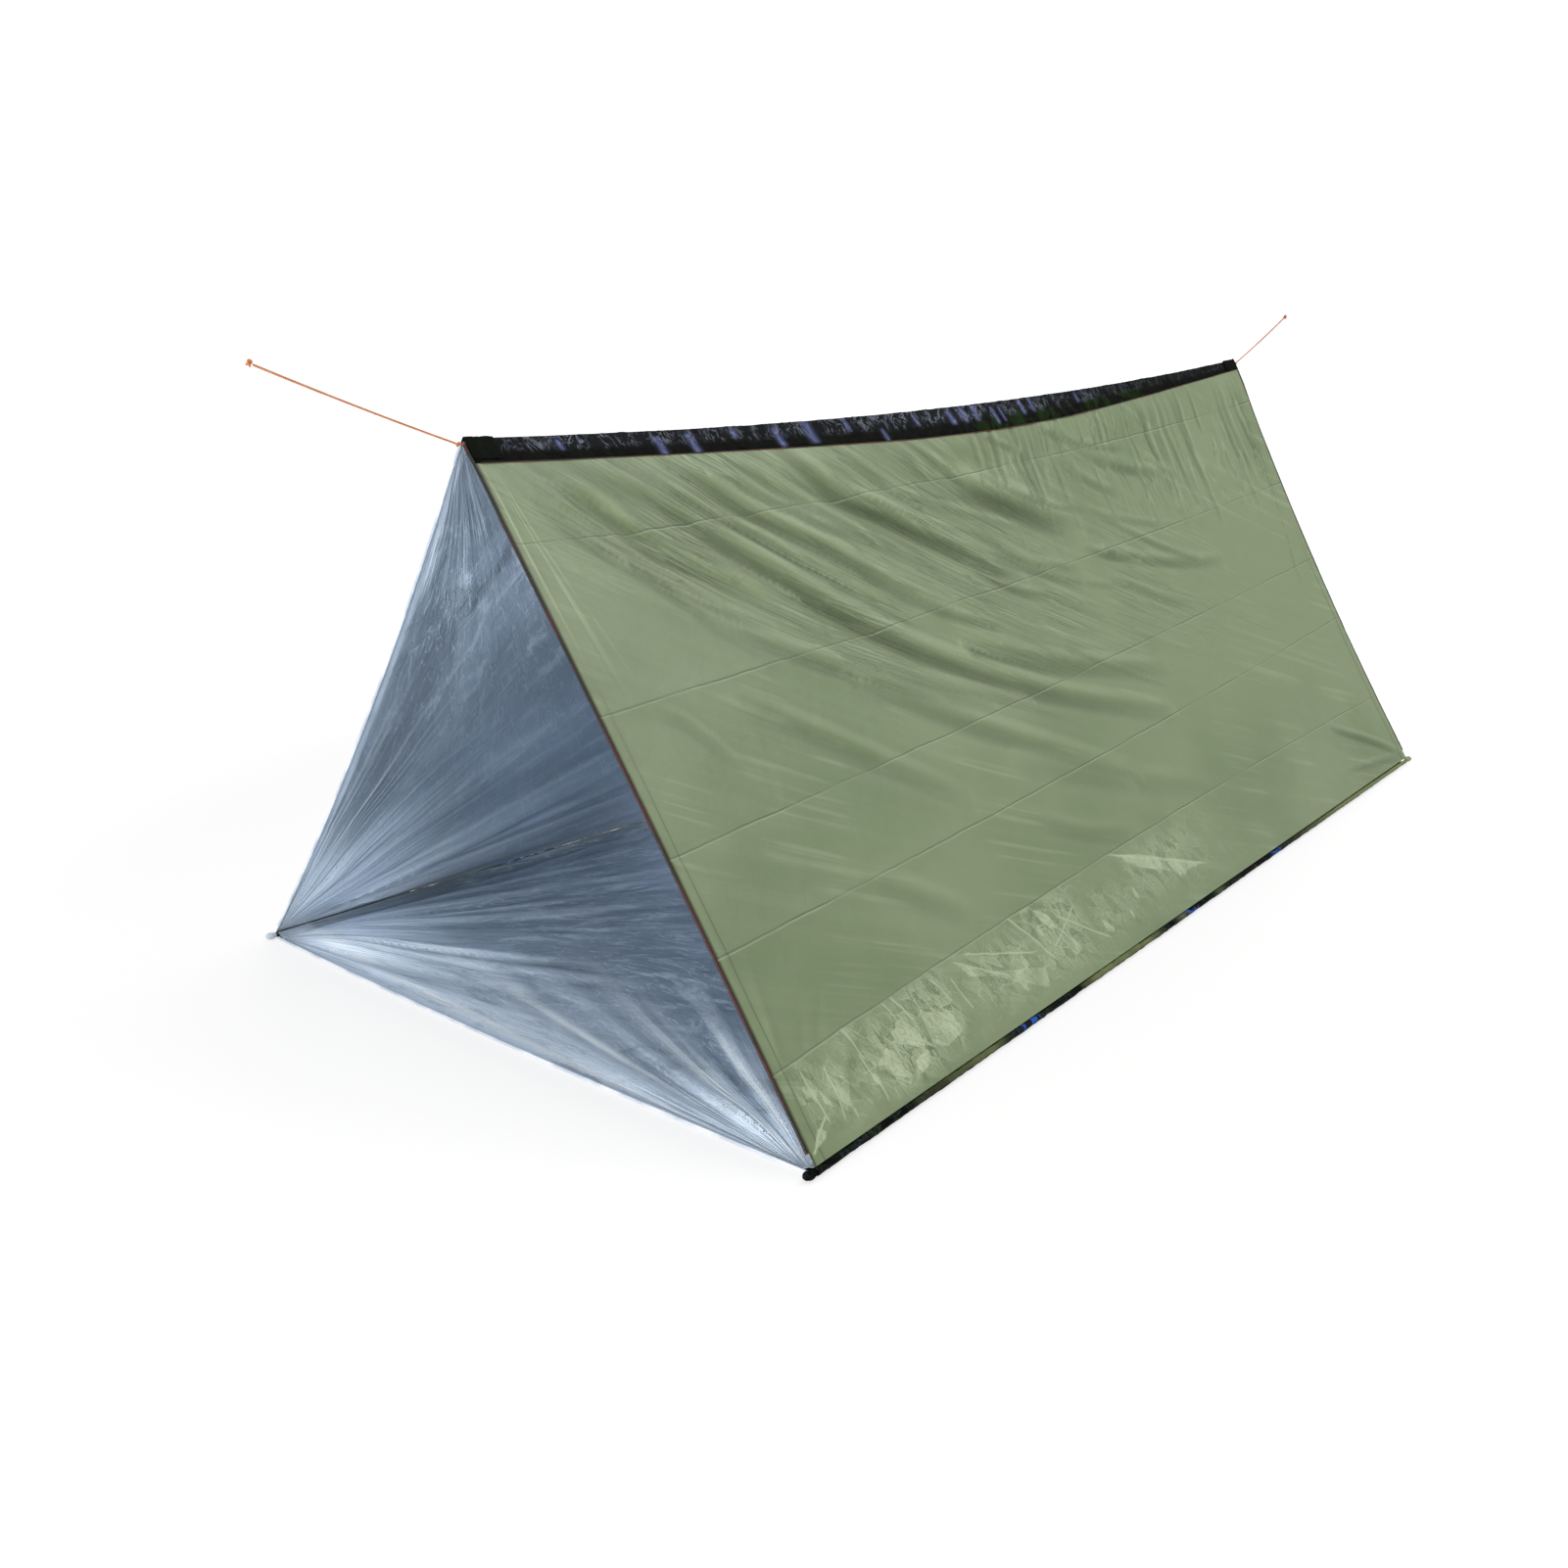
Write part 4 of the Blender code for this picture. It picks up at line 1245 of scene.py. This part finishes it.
band = {
    # half widths from front to rear, in millimetres
    "widths": (40, 41, 44, 50, 57, 59, 53, 41, 29, 20),
    "offset": 0.0011,
    "thickness": 0.0006,
    "cells": (760, 30),
    "crinkle": 0.0020,
    # painted highlights on pleats: place, first and last share of the width in thousandths, half width in
    # millimetres
    "pleats": (
        (72, 100, 600, 4),
        (158, 200, 1000, 6),
        (190, 100, 1000, 6),
        (236, 50, 450, 4),
        (279, 100, 950, 6),
        (316, 0, 900, 8),
        (362, 50, 500, 4),
        (400, 500, 1000, 4),
        (448, 50, 500, 4),
        (495, 50, 620, 6),
        (513, 0, 600, 6),
        (530, 0, 550, 5),
        (556, 100, 800, 4),
        (567, 100, 750, 3),
        (600, 0, 600, 4),
        (616, 0, 550, 4),
        (690, 50, 500, 4),
    ),
    "flat": (0.12, 2.28),
    "area": 0.215,
    "patchCells": (16, 24),
    "patchLength": 0.052,
    "patchWidth": 0.034,
    "patchOffset": 0.0022,
    "patchRipple": 0.0009,
    "patchFlat": (0.068, 0.052),
}


def bandWidth(along):
    widths = np.array(band["widths"]) / 1000
    return np.interp(along, np.linspace(0, 1, len(widths)), widths)


def saddleAt(along, across, width, lift):
    # a point of a strip folded over the ridge; across runs from -1 at its left edge to 1 at its right
    side = np.where(across < 0, -1.0, 1.0)
    right, left = (slopeNormal(along, way) for way in (1, -1))
    normal = np.where(side[..., None] > 0, right, left)
    slope = np.linalg.norm(footLine(along, 1) - ridgeLine(along), axis=-1)
    down = np.abs(across) * width / slope
    flat = np.where(side[..., None] > 0, flatPoint(along, down, 1), flatPoint(along, down, -1))
    point = flat + normal * lift[..., None]
    rise = (lift + tent["ridgeHalfGap"] * np.abs(normal[..., 0])) / normal[..., 2]
    crown = ridgeLine(along)
    crown[..., 2] += rise
    atCrown = np.abs(across)[..., None] < 1e-6
    return np.where(atCrown, crown, point)


def bandWrinkles(along, across):
    # folds that cross the band, sharpest in its middle part
    a = along * ridgeLength
    c = across * bandWidth(along)
    lean = a + 0.35 * np.abs(c)
    ridged = (1 - np.abs(softNoise(lean, c, (0.017, 0.06), 101))) ** 4
    broad = (1 - np.abs(softNoise(a - 0.25 * c, c, (0.05, 0.09), 103))) ** 2
    fine = np.abs(softNoise(lean, c, (0.008, 0.02), 105))
    where = smooth(0.05, 0.13, along) * (1 - 0.45 * smooth(0.75, 1, along))
    height = (0.55 * ridged + 0.4 * broad) * where + 0.14 * fine + 0.05
    calmCrown = 0.45 + 0.55 * smooth(0.0, 0.2, np.abs(across))
    return band["crinkle"] * height * calmCrown * (1 - smooth(0.9, 0.99, np.abs(across)))


def bandMarks(along, across):
    # where the band's upper part gets a painted reflection of the sky, where a pleat crossing it gets a
    # painted highlight, and where it looks mossy
    across = np.abs(across)
    lift = (1 - smooth(0.35, 0.66, across)) * smooth(0.0, 0.05, along) * (1 - 0.7 * smooth(0.66, 0.82, along))
    lift *= 0.8 + 0.5 * bell(along - 0.1, 0.06) + 0.5 * bell(along - 0.47, 0.09)
    glint = np.zeros(along.shape)
    for place, low, high, half in np.array(band["pleats"]) / 1000:
        gap = (along - place) * ridgeLength - 0.008 * across
        inside = smooth(low - 0.08, low + 0.08, across) * (1 - smooth(high - 0.1, high + 0.05, across))
        glint = np.maximum(glint, bell(gap, 1.25 * half) * inside)
    moss = smooth(0.48, 0.56, along) * (1 - smooth(0.76, 0.84, along)) * smooth(0.2, 0.5, across)
    return {"lift": lift, "glint": glint, "moss": moss}


def stripGrid(low, high, cells):
    along, across = gridOf(np.linspace(low, high, cells[0] + 1), np.linspace(-1, 1, cells[1] + 1))
    return along, np.where(np.abs(across) < 1e-9, 0.0, across)


def addStrip(name, along, across, width, heights, marks, **size):
    # one layer of black film over the ridge, its face and back at the two heights
    face, back = (saddleAt(along, across, width, height) for height in heights)
    uv = np.stack([along * ridgeLength, across * width], -1)
    piece = addPiece(shellMesh(name, face, back, uv, marks), "band", flattens=True)


def buildBand():
    along, across = stripGrid(0, 1, band["cells"])
    half = band["thickness"] / 2
    heights = band["offset"] + half + bandWrinkles(along, across), along * 0 + band["offset"] - half
    size = {"flat": band["flat"], "rests_on": ["rightSlopeFilm", "leftSlopeFilm"], "area": band["area"]}
    addStrip("ridgeBand", along, across, bandWidth(along), heights, bandMarks(along, across), **size)
    share, offset = band["patchLength"] / ridgeLength, band["patchOffset"]
    for endName, low, high in (("front", 0, share), ("rear", 1 - share, 1)):
        along, across = stripGrid(low, high, band["patchCells"])
        wide = np.minimum(band["patchWidth"], bandWidth(along))
        fine = np.abs(softNoise(along * ridgeLength, across * wide, (0.009, 0.05), 111))
        ripple = bandWrinkles(along, across) + band["patchRipple"] * fine
        heights = offset + half + ripple, offset - half + ripple * 0.9
        plain = {"lift": along * 0, "glint": along * 0, "moss": along * 0}
        size = {"flat": band["patchFlat"], "rests_on": ["ridgeBand"]}
        addStrip(f"{endName}RidgePatch", along, across, wide, heights, plain, **size)


buildBand()
print("ridge band folded over")


def endTree(value, kind):
    last = value.tree.nodes.new(kind)
    value.tree.links.new(value.socket, last.inputs[0])


def newTree(name, sizes):
    # a node tree that takes a path, its sizes by name and a finish
    tree = bpy.data.node_groups.new(name, "GeometryNodeTree")
    inputs = [("Geometry", "Geometry"), *[(label, "Float") for label in sizes], ("Material", "Material")]
    for label, kind in inputs:
        tree.interface.new_socket(label, in_out="INPUT", socket_type=f"NodeSocket{kind}")
    tree.interface.new_socket("Geometry", in_out="OUTPUT", socket_type="NodeSocketGeometry")
    entry = tree.nodes.new("NodeGroupInput")
    given = {socket.name: Value(tree, socket) for socket in entry.outputs if socket.name}
    start = given["Geometry"]
    line = start.node("GeometryNodeMeshToCurve", None, {0: start})
    return given, start.node("GeometryNodeResampleCurve", {"mode": "LENGTH"}, {0: line, 3: given["Step"]})


def closeTree(given, geometry):
    whole = geometry.node("GeometryNodeRealizeInstances", None, {0: geometry})
    endTree(whole.node("GeometryNodeSetMaterial", None, {0: whole, 2: given["Material"]}), "NodeGroupOutput")
    return whole.tree


def alongPath(name, points, tree, values):
    # runs a tree on a path and gives back the plain mesh, its faces outwards
    path = bpy.data.meshes.new(name + "Path")
    steps = [(index, index + 1) for index in range(len(points) - 1)]
    path.from_pydata([tuple(point) for point in points], steps, [])
    host = newObject(name + "Host", path)
    modifier = host.modifiers.new("grow", "NODES")
    modifier.node_group = tree
    for item in tree.interface.items_tree:
        if item.in_out == "INPUT" and item.name in values:
            modifier[item.identifier] = values[item.name]
    graph = bpy.context.evaluated_depsgraph_get()
    mesh = bpy.data.meshes.new_from_object(
        host.evaluated_get(graph), preserve_all_data_layers=True, depsgraph=graph
    )
    host.modifiers.clear()
    bpy.data.objects.remove(host)
    mesh.name = name
    mesh.shade_smooth()
    return turnedOut(mesh)


def turnedOut(mesh):
    # makes every face of a closed mesh point outwards
    count = len(mesh.loop_triangles) or (mesh.calc_loop_triangles() or len(mesh.loop_triangles))
    corners = np.zeros(count * 3, np.int32)
    mesh.loop_triangles.foreach_get("vertices", corners)
    points = np.zeros(len(mesh.vertices) * 3, np.float32)
    mesh.vertices.foreach_get("co", points)
    triangles = points.reshape(-1, 3)[corners.reshape(-1, 3)]
    triangles = triangles - triangles.reshape(-1, 3).mean(0)
    volume = float((triangles[:, 0] * np.cross(triangles[:, 1], triangles[:, 2])).sum())
    if volume < 0:
        mesh.flip_normals()
    return mesh


rope = {
    "radius": 0.00175,
    # three strands fill the rope: its radius is this many of theirs, and their middles lie this many out
    "strands": 3,
    "strandRadii": 2.155,
    "strandOffset": 1.155,
    "lay": 0.011,
    "step": 0.0015,
    "clearance": 0.0004,
    "filmHalf": 0.0012,
    "apexKnot": 0.0045,
    "endKnot": 0.0055,
    "knotStrand": 0.84,
    "knotGap": 0.0003,
    "knotOffset": 0.0095,
    # how far each free rope runs out and up, and how much it sags
    "lines": ((-0.3005, 0.1285), (0.2545, 0.1030)),
    "hang": 0.002,
}


def ropeTree():
    # strands laid round each other along a path
    given, line = newTree("laidRope", ("Step", "Strand Radius", "Strand Offset", "Lay"))
    normal, tangent = (line.node("GeometryNodeInput" + kind) for kind in ("Normal", "Tangent"))
    across = normal.vectorMaths("CROSS_PRODUCT", tangent)
    passed = line.node("GeometryNodeSplineParameter", None, None, 1)
    profile = line.node("GeometryNodeCurvePrimitiveCircle", None, {0: 8, 4: given["Strand Radius"]})
    strands = []
    for index in range(rope["strands"]):
        turn = passed / given["Lay"] * (2 * math.pi) + index * 2 * math.pi / rope["strands"]
        sideways = across.scaled(turn.maths("SINE", turn))
        away = normal.scaled(turn.maths("COSINE", turn)).vectorMaths("ADD", sideways)
        offset = away.scaled(given["Strand Offset"])
        strand = line.node("GeometryNodeSetPosition", None, {0: line, 3: offset})
        strands.append(line.node("GeometryNodeCurveToMesh", None, {0: strand, 1: profile, 3: True}))
    return closeTree(given, line.node("GeometryNodeJoinGeometry", None, {0: strands}))


rollSizes = ("Step", "Radius", "End Share", "Swell", "Swell Length", "Ripple", "Ripple Length", "Seed")


def rollTree():
    # a rolled or welded edge along a path, a little uneven in width, that thins towards its end
    given, line = newTree("rolledEdge", rollSizes)
    place = line.node("GeometryNodeInputPosition")
    seeded = place.vectorMaths("ADD", line.join(given["Seed"], 0.0, 0.0))
    passed = line.node("GeometryNodeSplineParameter")
    swell = (seeded.noise(1.0 / given["Swell Length"], 2.0) - 0.5) * given["Swell"] * 2.0
    wide = (passed * (given["End Share"] - 1.0) + 1.0) * (swell + 1.0)
    profile = line.node("GeometryNodeCurvePrimitiveCircle", None, {0: 12, 4: given["Radius"]})
    roll = line.node("GeometryNodeCurveToMesh", None, {0: line, 1: profile, 2: wide, 3: True})
    ripple = (seeded.noise(1.0 / given["Ripple Length"], 2.0, 0.5, 0.6) - 0.5) * given["Ripple"] * 2.0
    offset = line.node("GeometryNodeInputNormal").scaled(ripple)
    return closeTree(given, line.node("GeometryNodeSetPosition", None, {0: roll, 3: offset}))


trees = {"rope": ropeTree(), "roll": rollTree()}
print("node trees built")


def ropeCentre(along):
    along = np.asarray(along, float)
    normal = slopeNormal(along, 1)
    reach = rope["filmHalf"] + rope["clearance"] + rope["radius"]
    point = ridgeLine(along)
    point[..., 2] -= (reach - tent["ridgeHalfGap"] * normal[..., 0]) / normal[..., 2]
    return point


def addRope(name, points, body):
    values = {
        "Step": rope["step"],
        "Strand Radius": rope["radius"] / rope["strandRadii"],
        "Strand Offset": rope["radius"] * rope["strandOffset"] / rope["strandRadii"],
        "Lay": rope["lay"],
        "Material": finishes["rope"],
    }
    return addPiece(alongPath(name, points, trees["rope"], values), "rope", body)


def addKnot(name, centre, radius, turn, body):
    # a tight overhand knot: a closed trefoil of rope
    strand, rings, around = rope["radius"] * rope["knotStrand"], 96, 14
    share = np.linspace(0, 2 * math.pi, rings, endpoint=False)
    x, y = np.sin(share) + 2 * np.sin(2 * share), np.cos(share) - 2 * np.cos(2 * share)
    line = np.stack([x, y, -1.25 * np.sin(3 * share)], -1)
    line *= (radius - strand) / np.linalg.norm(line, axis=1).max()
    tangent = np.roll(line, -1, 0) - np.roll(line, 1, 0)
    tangent /= np.linalg.norm(tangent, axis=1, keepdims=True)
    side = np.cross(tangent, line)
    side /= np.linalg.norm(side, axis=1, keepdims=True)
    other = np.cross(tangent, side)
    angle = np.linspace(0, 2 * math.pi, around, endpoint=False)[:, None]
    points = line[:, None] + strand * (np.cos(angle) * side[:, None] + np.sin(angle) * other[:, None])
    spin = np.array(Matrix.Rotation(turn, 3, "X") @ Matrix.Rotation(turn * 0.7, 3, "Z"))
    index = np.arange(rings * around).reshape(rings, around)
    nextRing, nextAround = np.roll(index, -1, 0), np.roll(index, -1, 1)
    faces = np.stack([index, nextAround, np.roll(nextRing, -1, 1), nextRing], -1).reshape(-1, 4)
    mesh = meshFrom(name, points.reshape(-1, 3) @ spin.T + np.array(centre), faces)
    return addPiece(turnedOut(mesh), "knot", body)


def linePoints(start, end, count=30):
    way = (end - start) / np.linalg.norm(end - start)
    first = start + way * (rope["apexKnot"] + rope["knotGap"])
    last = end - way * (rope["endKnot"] + rope["knotGap"])
    share = np.linspace(0, 1, count)[:, None]
    points = mix(first, last, share)
    points[:, 2] -= (rope["hang"] * 4 * share * (1 - share))[:, 0]
    return points


def buildRope():
    knots = [ropeCentre(along) + np.array([0, rope["knotOffset"] * (2 * along - 1), 0]) for along in (0, 1)]
    inset = np.array([0, rope["apexKnot"] + rope["knotGap"], 0])
    path = np.concatenate([[knots[0] + inset], ropeCentre(np.linspace(0, 1, 61)), [knots[1] - inset]])
    addRope("ridgeRope", path, "ridge_rope")
    for along, endName in ends:
        addKnot(f"{endName}ApexKnot", knots[along], rope["apexKnot"], 0.5, "ridge_rope")
        farPlace = knots[along] + np.array([0, *rope["lines"][along]])
        points = linePoints(knots[along], farPlace)
        line = addRope(f"{endName}Line", points, f"{endName}_line")
        knot = addKnot(f"{endName}EndKnot", farPlace, rope["endKnot"], 1.1, f"{endName}_line")


buildRope()
print("rope laid and knotted")

hems = {
    "radius": 0.0022,
    "gap": 0.0003,
    "middle": -0.0004,
    "steps": 60,
    "floorInset": 0.0113,
    # out from the ground edge, and up
    "seamPlace": (0.002, 0.0062),
    # for each kind of roll: step, radius, end share, swell and its length, ripple and its length
    "slope": (0.006, 0.0026, 1.0, 0.22, 0.05, 0.0004, 0.012),
    "seam": (0.006, 0.0056, 0.72, 0.3, 0.07, 0.0016, 0.016),
    "thread": (0.008, 0.0008, 1.0, 0.5, 0.03, 0.0002, 0.02),
}
corners = {
    "radii": (0.0085, 0.0115, 0.0062),
    "out": 0.001,
    "beyond": 0.0118,
    "height": 0.0072,
    "gatherHeight": 0.009,
    "lowest": 0.0004,
}


def addRoll(name, points, kind, seed, finish, keepAbove=None, inCad=True):
    # a roll that lies on the ground stays where it is when the ridge comes down
    values = {**dict(zip(rollSizes, (*hems[kind], float(seed)))), "Material": finishes[finish]}
    mesh = alongPath(name, points, trees["roll"], values)
    if keepAbove is not None:
        for vertex in mesh.vertices:
            vertex.co.z = max(vertex.co.z, keepAbove)
    # the painted sky reflection and the moss tint at half strength
    for key in ("lift", "moss"):
        mark = mesh.attributes.new(key, "FLOAT", "POINT")
        mark.data.foreach_set("value", np.full(len(mesh.vertices), 0.5, np.float32))
    addPiece(mesh, finish, flattens=keepAbove is None, inCad=inCad)


def buildHems():
    steps, away = hems["steps"], hems["radius"] + hems["gap"]
    for along, endName in ends:
        place = np.array(float(along))
        outward = away * (2 * along - 1)
        for side, sideName in sides:
            slope = float(np.linalg.norm(footLine(place, side) - ridgeLine(place)))
            low = (2 * hems["radius"] + rope["radius"]) / slope
            down = np.linspace(low, 1 - (2 * corners["gatherHeight"] + hems["radius"]) / slope, steps)
            stations = np.full(down.shape, float(along))
            points = slopeAt(stations, down, side, slopeSag(stations, down) + hems["middle"])
            points[:, 1] += outward
            finish = "foilHem" if side < 0 and along == 0 else "hem"
            addRoll(f"{endName}Hem{sideName.title()}", points, "slope", 3 + side + along, finish)
        half = tent["halfWidth"][along]
        across = np.linspace(-1, 1, steps) * (half - hems["floorInset"]) / half
        x, y = floorEdge(across, np.full(across.shape, float(along)))
        points = np.stack([x, y + outward, x * 0 + away], -1)
        addRoll(f"{endName}HemFloor", points, "slope", 9 + along, "foilHem", 0.0002)
    out, up = hems["seamPlace"]
    for side, sideName in sides:
        stations = np.linspace(0, 1, steps)
        x, y = floorEdge(np.full(stations.shape, float(side)), stations)
        points = np.stack([x + side * out, y, x * 0 + up], -1)
        addRoll(f"{sideName}GroundSeam", points, "seam", 20 + side, "ground", 0.0003)
        stations = np.linspace(0.004, 0.996, 3 * steps)
        across, lift = (np.full(stations.shape, level) for level in (0.999 * side, band["offset"]))
        points = saddleAt(stations, across, bandWidth(stations), lift)
        addRoll(f"{sideName}BandEdge", points, "thread", 30 + side, "thread", inCad=False)


def gatherMesh(name, centre, radii, seed):
    # film bunched at a ground corner: a lobed lump whose pleats run with the seam
    rings, around = 26, 54
    t, turn = gridOf(np.linspace(-1, 1, rings)[1:-1], np.linspace(0, 2 * math.pi, around, endpoint=False))
    pleat = 1 + 0.1 * np.cos(9 * turn + 1.2 * t + seed) + 0.05 * np.cos(17 * turn - seed)
    size = np.sqrt(1 - t**2) * pleat * 0.94
    points = np.stack([radii[0] * size * np.cos(turn), radii[1] * t, radii[2] * size * np.sin(turn)], -1)
    points = np.concatenate([points.reshape(-1, 3), [[0, -radii[1], 0], [0, radii[1], 0]]]) + np.array(centre)
    points[:, 2] = np.maximum(points[:, 2], corners["lowest"])
    index = np.arange((rings - 2) * around).reshape(rings - 2, around)
    following = np.roll(index, -1, 1)
    faces = np.stack([index[:-1], following[:-1], following[1:], index[1:]], -1).reshape(-1, 4).tolist()
    first, last = len(points) - 2, len(points) - 1
    faces += [[first, b, a] for a, b in zip(index[0], following[0])]
    faces += [[last, a, b] for a, b in zip(index[-1], following[-1])]
    plain = points[:, 0] * 0
    # a faint painted sky reflection, and no painted glint facets
    marks = {"lift": plain + 0.2, "crest": plain, "shardGap": plain + belt["farGap"]}
    return turnedOut(meshFrom(name, points, faces, points[:, :2], marks))


def buildCorners():
    for along, endName in ends:
        for side, sideName in sides:
            x, y = (float(value) for value in floorEdge(np.array(float(side)), np.array(float(along))))
            centre = (x + side * corners["out"], y + corners["beyond"] * (2 * along - 1), corners["height"])
            finish = "olive" if along == 1 else "ground" if side > 0 else "foilHem"
            name = f"{endName}{sideName.title()}Corner"
            addPiece(gatherMesh(name, centre, corners["radii"], 2 * along + side), finish)


buildHems()
buildCorners()
print("hems, seams and corners rolled")

studio = {
    "reach": 40.0,
    "floorHeight": -0.0006,
    "floorColour": (0.9, 0.9, 0.9, 1.0),
    "floorGlow": 1.12,
    "nearGlow": 0.62,
    "whiteFrom": 1.7,
    "whiteTo": 3.2,
    "ambient": 0.5,
    "target": (0, 0, 0.4),
    "lamps": {
        "keyLamp": {"place": (1.3, 1.4, 4.0), "size": 3.0, "power": 58.0, "mirrored": True},
        "fillLamp": {"place": (1.2, -3.9, 0.75), "size": 1.4, "power": 60.0, "mirrored": True},
        "frontLamp": {"place": (-1.2, -4.4, 2.4), "size": 2.4, "power": 36.0, "mirrored": True},
        "rearLamp": {"place": (-0.15, 3.3, 0.34), "size": 0.66, "power": 150.0, "mirrored": False},
    },
}


def emptyTree(holder):
    holder.use_nodes = True
    holder.node_tree.nodes.clear()
    return Value(holder.node_tree)


def seenWhite(start):
    # 1 for camera and transmission rays
    rays = start.tree.nodes.new("ShaderNodeLightPath")
    seen = [Value(start.tree, rays.outputs[name]) for name in ("Is Camera Ray", "Is Transmission Ray")]
    return seen[0].most(seen[1])


def areaLamp(name, facts):
    lamp = bpy.data.lights.new(name, "AREA")
    lamp.shape = "SQUARE"
    lamp.size, lamp.energy = facts["size"], facts["power"]
    holder = newObject(name, lamp)
    aim = Vector(studio["target"]) - Vector(facts["place"])
    holder.visible_glossy = facts["mirrored"]
    turned = aim.to_track_quat("-Z", "Y").to_matrix().to_4x4()
    holder.matrix_world = Matrix.Translation(facts["place"]) @ turned


def buildStudio():
    mesh = bpy.data.meshes.new("studioFloor")
    reach = studio["reach"]
    outline = [(-reach, -reach, 0), (reach, -reach, 0), (reach, reach, 0), (-reach, reach, 0)]
    mesh.from_pydata(outline, [], [(0, 1, 2, 3)])
    ground = newObject("studioFloor", mesh)
    ground.location.z = studio["floorHeight"]
    made = bpy.data.materials.new("studioFloor")
    start = emptyTree(made)
    plain = start.node("ShaderNodeBsdfDiffuse", None, {0: studio["floorColour"]})
    white = start.node("ShaderNodeEmission", None, {0: (1, 1, 1, 1), 1: studio["floorGlow"]})
    distance = start.objectPlace().vectorMaths("LENGTH", output=1)
    least = studio["nearGlow"]
    glow = distance.rise(studio["whiteFrom"], studio["whiteTo"]) * (1.0 - least) + least
    shares = {0: glow * seenWhite(start), 1: plain, 2: white}
    endTree(start.node("ShaderNodeMixShader", None, shares), "ShaderNodeOutputMaterial")
    mesh.materials.append(made)

    world = bpy.data.worlds.new("studio")
    bpy.context.scene.world = world
    start = emptyTree(world)
    strength = seenWhite(start) * (1.0 - studio["ambient"]) + studio["ambient"]
    shine = start.node("ShaderNodeBackground", None, {0: (1, 1, 1, 1), 1: strength})
    endTree(shine, "ShaderNodeOutputWorld")
    for name, facts in studio["lamps"].items():
        areaLamp(name, facts)
    bpy.context.scene.view_settings.view_transform = "Standard"


buildStudio()
print("studio lit")
